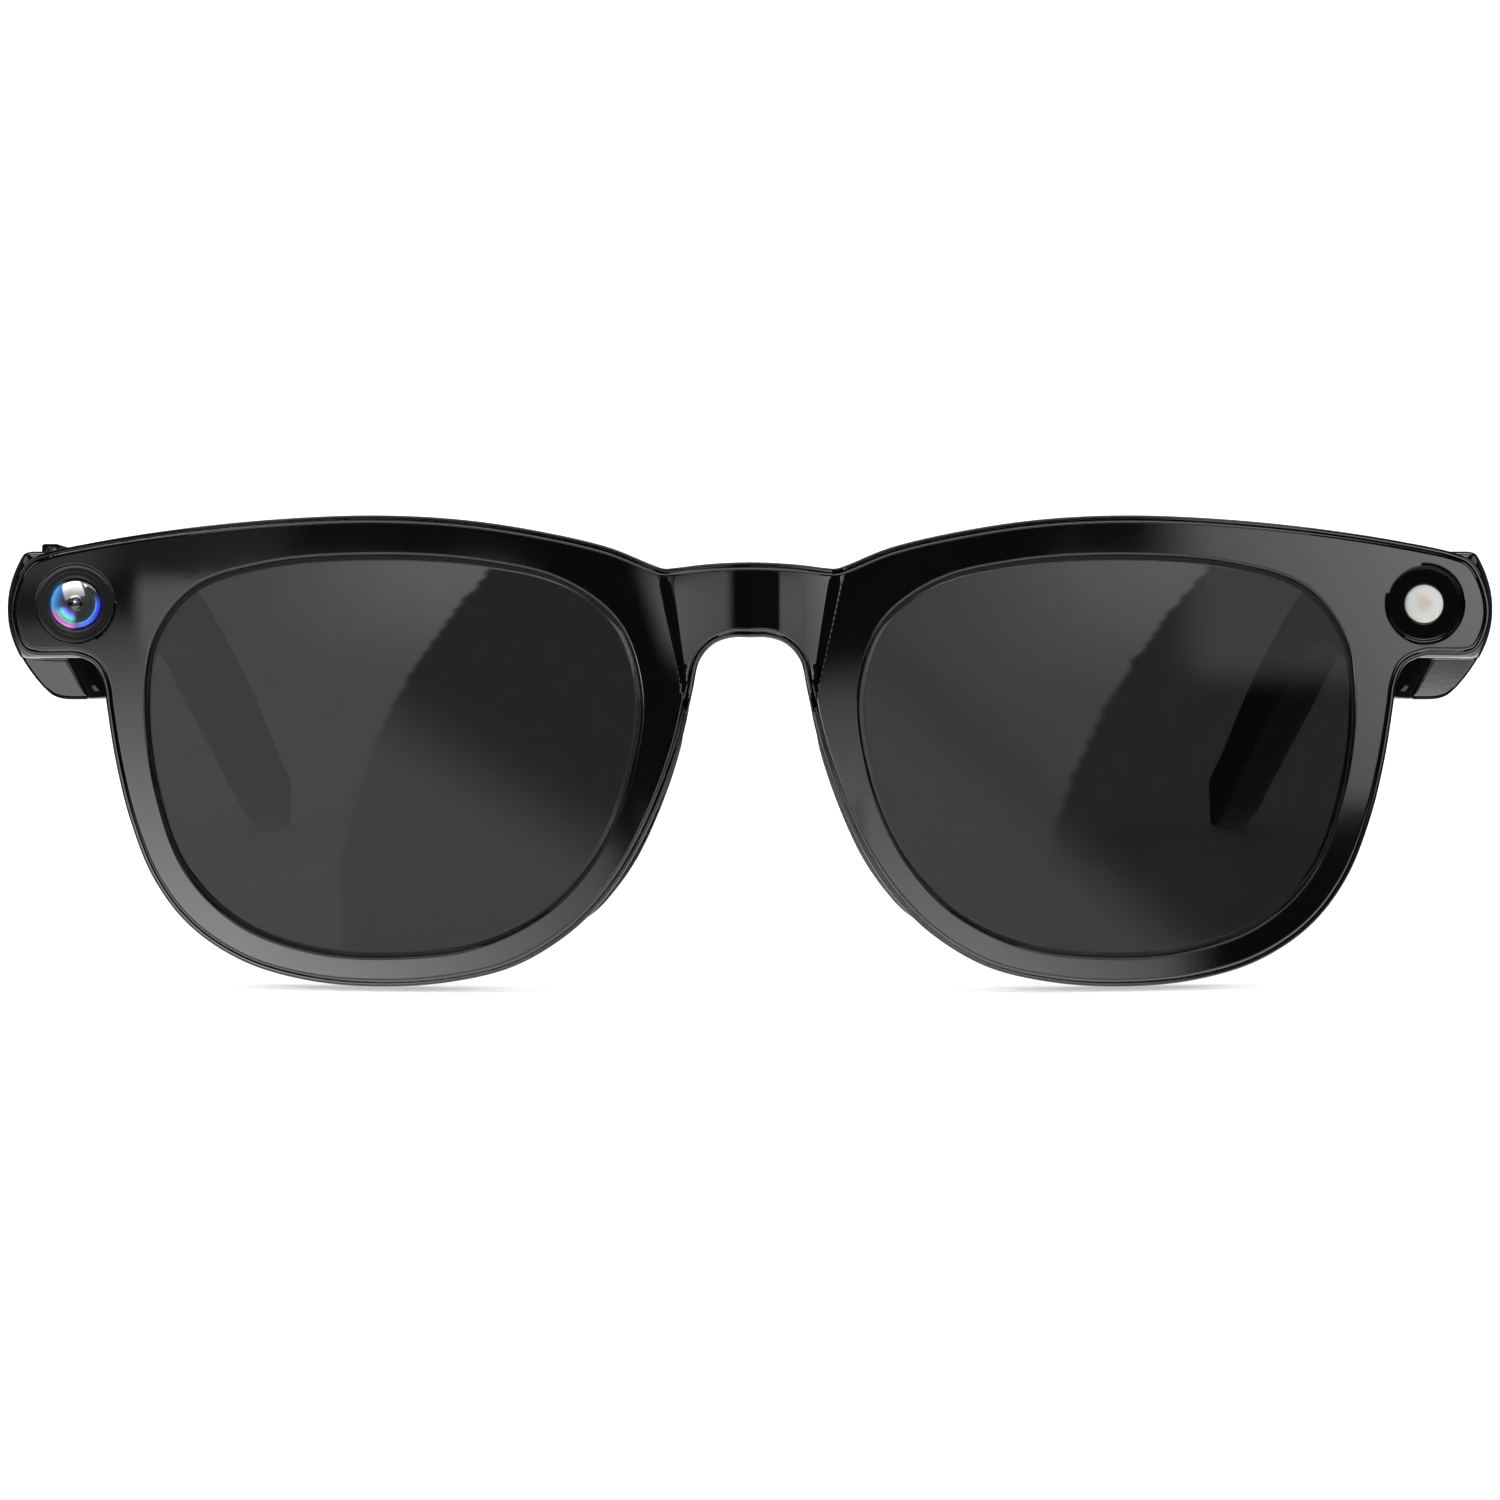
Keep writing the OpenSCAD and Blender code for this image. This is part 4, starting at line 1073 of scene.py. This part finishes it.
def frosted(name):
    """A frosted diffuser, a little warmer over the chip behind its middle."""
    radius = (0.8 * MM, 0.7 * MM, 0.6 * MM)
    paint = Paint(name, Subsurface_Weight=0.4, IOR=1.45, Subsurface_Radius=radius)
    centre = row(PORT_X, PORT_Y + 0.4, PORT_Z)
    offset = paint.node("Mapping", Vector=paint.place, Location=tuple(-c for c in centre))
    length = paint.nodes.new("ShaderNodeVectorMath")
    length.operation = "LENGTH"
    paint.links.new(offset.outputs["Vector"], length.inputs[0])
    far = paint.fade(length.outputs["Value"], 0.3 * MM, 1.2 * MM)
    paint.tones(far, (0.47, 0.42, 0.365), (0.54, 0.54, 0.525))
    return paint.spread(paint.noise(900), 0.25, 0.35).material


lamp_white = frosted("lamp_white")
diffuser = [
    (0, 0.5), (0.5, 0.51), (1.0, 0.53), (1.5, 0.57), (1.8, 0.64), (1.92, 0.75), (1.95, 0.9), (1.95, 3.0),
    (2.9, 3.05), (2.9, 3.75), (0, 3.75),
]
on_front("lamp_lens", LEFT, diffuser, lamp_white, "diffuser_white", "lamp_diffuser")

# ---- Shutter button ----

BUTTON_X, BUTTON_Y, BUTTON_Z = 73.6, 36, 21.7  # its middle, and its top
BUTTON_FOOT = 18.4
HALF_L, HALF_W, RIBS = 4.45, 0.93, 11
RIB_DEPTH = 0.14


def button():
    """Rings of a ribbed bar along the top of the wearer's right temple. Its ends are dished by 0.5."""
    ending = []
    for k in range(7):
        drop = 1 - math.sin(math.radians(15 * k))
        ending.append((-HALF_L + 0.5 * drop, 1 - 0.35 * drop if k else 0.55, 0))
    count = 120
    length = HALF_L - 0.55
    ribbed = []
    for k in range(count + 1):
        t = k / count
        groove = 0.5 - 0.5 * math.cos(2 * math.pi * t * RIBS)
        ribbed.append((length * (2 * t - 1), 1, RIB_DEPTH * (1 - groove**0.6)))
    rings = []
    for offset, share, dip in [*ending, *ribbed, *[(-o, s, d) for o, s, d in reversed(ending)]]:
        w = HALF_W * share
        top = BUTTON_Z - dip - (1 - share) * 0.5
        x0, x1 = BUTTON_X - w, BUTTON_X + w
        flat = rounded([(x0, BUTTON_FOOT), (x1, BUTTON_FOOT), (x1, top), (x0, top)], [0, 0, 0.35, 0.35])
        rings.append([(p.x, BUTTON_Y + offset, p.y) for p in flat])
    return rings


loft(
    "shutter_key", button(), "shutter_button", button_black, "button_black",
    side=RIGHT, stands_for=("shutter_button",),
)

# ---- CAD nodes that keep their shape ----

def both(*names):
    return [f"{side}_{name}" for name in names for _, side in SIDES]


carried = (
    (board_green, ["camera_sensor_board", "main_board", "left_board"]),
    (board_white, ["lamp_board"]),
    (flex_amber, ["front_flex_cable", "touch_sensor"]),
    (hinge_steel, both("hinge_front_leaf", "hinge_temple_leaf")),
    (pin_steel, both("hinge_pin")),
    (screw_steel, ["hinge_front_screws", *both("temple_screws")]),
    (shield_steel, ["main_shield_can", *both("microphone")]),
    (cell_foil, both("battery", "tip_battery")),
    (speaker_black, both("speaker")),
    (mesh_black, both("speaker_mesh")),
    (switch_ivory, ["shutter_switch"]),
    (contact_gold, ["charging_contacts"]),
    (magnet_nickel, ["charging_magnets"]),
)
for node, paint in [(node, paint) for paint, nodes in carried for node in nodes]:
    part = frame["nodes"][node]
    part.data.materials.clear()
    part.data.materials.append(paint)
    weld = part.modifiers.new("weld", "WELD")
    weld.merge_threshold = 0.002 * MM
    bevel = part.modifiers.new("bevel", "BEVEL")
    bevel.width = 0.07 * MM
    bevel.segments = 2
    bevel.limit_method = "ANGLE"
    bevel.angle_limit = math.radians(50)
    bevel.harden_normals = True
    for polygon in part.data.polygons:
        polygon.use_smooth = True

# ---- Studio ----


def stage_mesh(name, points, faces, material):
    mesh = bpy.data.meshes.new(name)
    mesh.from_pydata(points, [], faces)
    mesh.polygons.foreach_set("use_smooth", [True] * len(mesh.polygons))
    mesh.materials.append(material)
    obj = bpy.data.objects.new(name, mesh)
    bpy.context.scene.collection.objects.link(obj)
    obj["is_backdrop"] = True
    return obj


def studio_floor():
    """A pale floor that curves up into a wall all round."""
    flat_r, curve_r, wall_top = 2.6, 0.9, 3.2
    profile = [(0.0, 0.0), (0.5, 0.0), (1.5, 0.0)]
    for k in range(13):
        a = math.radians(90 * k / 12)
        profile.append((flat_r + curve_r * math.sin(a), curve_r * (1 - math.cos(a))))
    profile.append((flat_r + curve_r, wall_top))
    paper = Paint("paper", Roughness=0.9, Emission_Color=(1, 1, 1, 1), Emission_Strength=0.42)
    paper.tones(paper.noise(3), (0.86, 0.86, 0.86), (0.9, 0.9, 0.9))
    paper.material.cycles.emission_sampling = "NONE"
    floor = stage_mesh("floor", *spin(profile, 96), paper.material)
    floor.visible_glossy = False


studio_floor()


def glow_mesh(name, points, faces, values):
    """An unseen light that only shows in glossy reflections. Its brightness is given point by point."""
    material = bpy.data.materials.new(name)
    material.use_nodes = True
    nodes, links = material.node_tree.nodes, material.node_tree.links
    nodes.clear()
    attribute = nodes.new("ShaderNodeAttribute")
    attribute.attribute_name = "glow"
    emission = nodes.new("ShaderNodeEmission")
    clear = nodes.new("ShaderNodeBsdfTransparent")
    both = nodes.new("ShaderNodeAddShader")
    out = nodes.new("ShaderNodeOutputMaterial")
    links.new(attribute.outputs["Fac"], emission.inputs["Strength"])
    links.new(emission.outputs["Emission"], both.inputs[0])
    links.new(clear.outputs["BSDF"], both.inputs[1])
    links.new(both.outputs["Shader"], out.inputs["Surface"])
    material.cycles.emission_sampling = "NONE"
    light = stage_mesh(name, points, faces, material)
    light.data.attributes.new("glow", "FLOAT", "POINT").data.foreach_set("value", values)
    for ray in ("camera", "shadow", "diffuse", "transmission"):
        setattr(light, "visible_" + ray, False)
    return light


def glow_wall(name, distance, width, height, glow, receivers, rows=130, columns=260):
    """An unseen wall in front of the glasses, as bright as glow(x, z), for reflections on the receivers."""
    xs = np.linspace(-width / 2, width / 2, columns)
    zs = np.linspace(-height / 2, height / 2, rows)
    points = [row(x, -distance, z) for z in zs for x in xs]
    starts = [j * columns + k for j in range(rows - 1) for k in range(columns - 1)]
    faces = [(a, a + 1, a + columns + 1, a + columns) for a in starts]
    wall = glow_mesh(name, points, faces, [glow(x, z) for z in zs for x in xs])
    linked = bpy.data.collections.new(name + "_receivers")
    for obj in receivers:
        linked.objects.link(obj)
    wall.light_linking.receiver_collection = linked


def ramp(value, start, end):
    """0 at start, 1 at end, smooth between."""
    return blend(0, 1, (value - start) / (end - start))


def face_glow(x, z):
    """What the front's glossy face mirrors at x and z on the wall: soft lights at both sides, low and high, and
    one from each side for the bridge."""
    low_left = 0.95 * max(0.0, 3.15 - 0.0525 * z) * min(1.0, max(0.0, 0.24 - 0.0014 * x)) * ramp(z, 47, 39)
    low_left *= max(ramp(x, -250, -290), ramp(z, -22, -32) * ramp(x, 5, -60))
    bridge_left = (1.7 + 0.0012 * max(0, -x - 300)) * ramp(x, -115, -220) * ramp(x, -702, -676)
    bridge_left *= ramp(z, 22, 36) * ramp(z, 57, 54)
    end_left = 0.55 * ramp(z, 53, 58) * ramp(x, -690, -790) + 0.2 * ramp(z, 56, 62) * ramp(x, -420, -500)
    low_right = (1.65 - 0.032 * z - 0.008 * max(0, x - 160)) * ramp(x, -8, 14)
    low_right *= ramp(x, 490, 380) * ramp(z, 31, 14)
    high_right = (1.0 + 0.0042 * max(0, x - 400) + 0.012 * z) * ramp(x, 350, 480) * ramp(z, -24, -12)
    high_right *= ramp(x, 1100, 960)
    bridge_right = 1.9 * ramp(x, 236, 262) * ramp(x, 530, 430) * ramp(z, 30, 34) * ramp(z, 57, 54)
    return max(low_left, bridge_left, end_left, max(0.0, low_right), high_right, bridge_right, 0.0)


def lens_glow(x, z):
    """What the lenses mirror: a light with a curved edge on each, brighter at the top, and soft light below."""
    left_edge = -349 + 0.42 * z + 0.001 * z * z
    right_edge = 285 + 0.45 * z + 0.0011 * z * z
    if x < left_edge:
        return 1.1 + 1.1 * ramp(z, 80, 250) * ramp(x, -560, -220)
    if x < 0:
        return 0.85 * ramp(z, -70 - 0.615 * x, -230 - 0.615 * x)
    if x < right_edge:
        shade = ramp(abs(z - 60 + 0.9 * (x - 100)), 110, 0)
        return 0.8 - 0.2 * shade + 1.2 * ramp(z, 40, 260) * ramp(x, 60, 420)
    top = 0.75 * ramp(x, 390, 480) * ramp(z, 75, 135)
    low = 0.8 * ramp(z, 150 - 0.78 * x, 20 - 0.78 * x)
    return max(top, low)


def window_glow(x, z):
    """The light that the camera's glass mirrors: one slanting window, high up, and a small one beside it."""
    big = ramp(x + 0.55 * z, -350, -325) * ramp(x + 0.07 * z, 12, -12) * ramp(z - 0.246 * (x + 396), 98, 125)
    big *= 1 - ramp(z, 560, 150) * 0.75
    small = ramp(x, 30, 50) * ramp(x, 170, 150) * ramp(z - 1.4 * (x - 50), 470, 500) * ramp(z, 740, 700)
    return 14 * big + 14 * small + 0.4


def arm_glow(x, z):
    """The light that the front ends of the temples mirror below the end pieces."""
    if x < 0:
        return 3.4 * ramp(abs(z), 115, 90)
    return (1.9 - 1.0 * ramp(x, 207, 222) + 4.6 * ramp(z, 22, 14)) * ramp(abs(z), 115, 90)


def named(*endings):
    return [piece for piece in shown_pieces() if piece.name.endswith(endings)]


lens_pieces = named("lens_tinted")
window_pieces = named("camera_window")
arm_pieces = named("temple_arm", "temple_inlay")
dull_pieces = named("camera_ring", "camera_tube", "lamp_ring_gloss", "lamp_lens")
set_apart = lens_pieces + window_pieces + arm_pieces + dull_pieces
other_pieces = [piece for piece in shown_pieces() if piece not in set_apart]
glow_wall("face_wall", 1200, 2600, 400, face_glow, other_pieces)
glow_wall("arm_wall", 1170, 900, 240, arm_glow, arm_pieces, 60, 120)
glow_wall("lens_wall", 1190, 2600, 900, lens_glow, lens_pieces)
glow_wall("window_wall", 1180, 2600, 2000, window_glow, window_pieces)


def under_card():
    """A soft light from below for the undersides, in place of the floor's reflection. It fades outwards."""
    count, height, near, far, strength = 32, -0.12, 0.12, 0.75, 2.2
    radii = [far * k / 12 for k in range(13)]
    points, faces = spin([(r, height) for r in radii], count)
    values = [strength]
    for r in radii[1:]:
        values += [strength * blend(1, 0, (r - near) / (far - near))] * count
    glow_mesh("under_card", points, faces, values)


under_card()


def area_light(name, place, aim, size, power):
    data = bpy.data.lights.new(name, "AREA")
    data.shape = "RECTANGLE"
    data.size, data.size_y = size
    data.energy = power
    light = bpy.data.objects.new(name, data)
    light.location = place
    light.rotation_mode = "QUATERNION"
    light.rotation_quaternion = (Vector(aim) - Vector(place)).to_track_quat("-Z", "Y")
    bpy.context.scene.collection.objects.link(light)


area_light("overhead", (0, 0.1, 1.6), (0, 0, 0), (1.5, 1.5), 17)
area_light("front_top", (0, -1.1, 0.85), (0, 0, 0.03), (1.4, 0.28), 4)
area_light("left_side", (1.5, 0.1, 1.0), (0, 0, 0.02), (1.6, 0.9), 6)
area_light("right_side", (-1.5, 0.1, 1.0), (0, 0, 0.02), (1.6, 0.9), 6)
area_light("behind", (0, 1.7, 1.3), (0, 0, 0.02), (1.6, 0.5), 5)

world = bpy.data.worlds.new("studio")
bpy.context.scene.world = world
world.use_nodes = True
world.node_tree.nodes["Background"].inputs["Color"].default_value = (1, 1, 1, 1)
world.node_tree.nodes["Background"].inputs["Strength"].default_value = 0.04
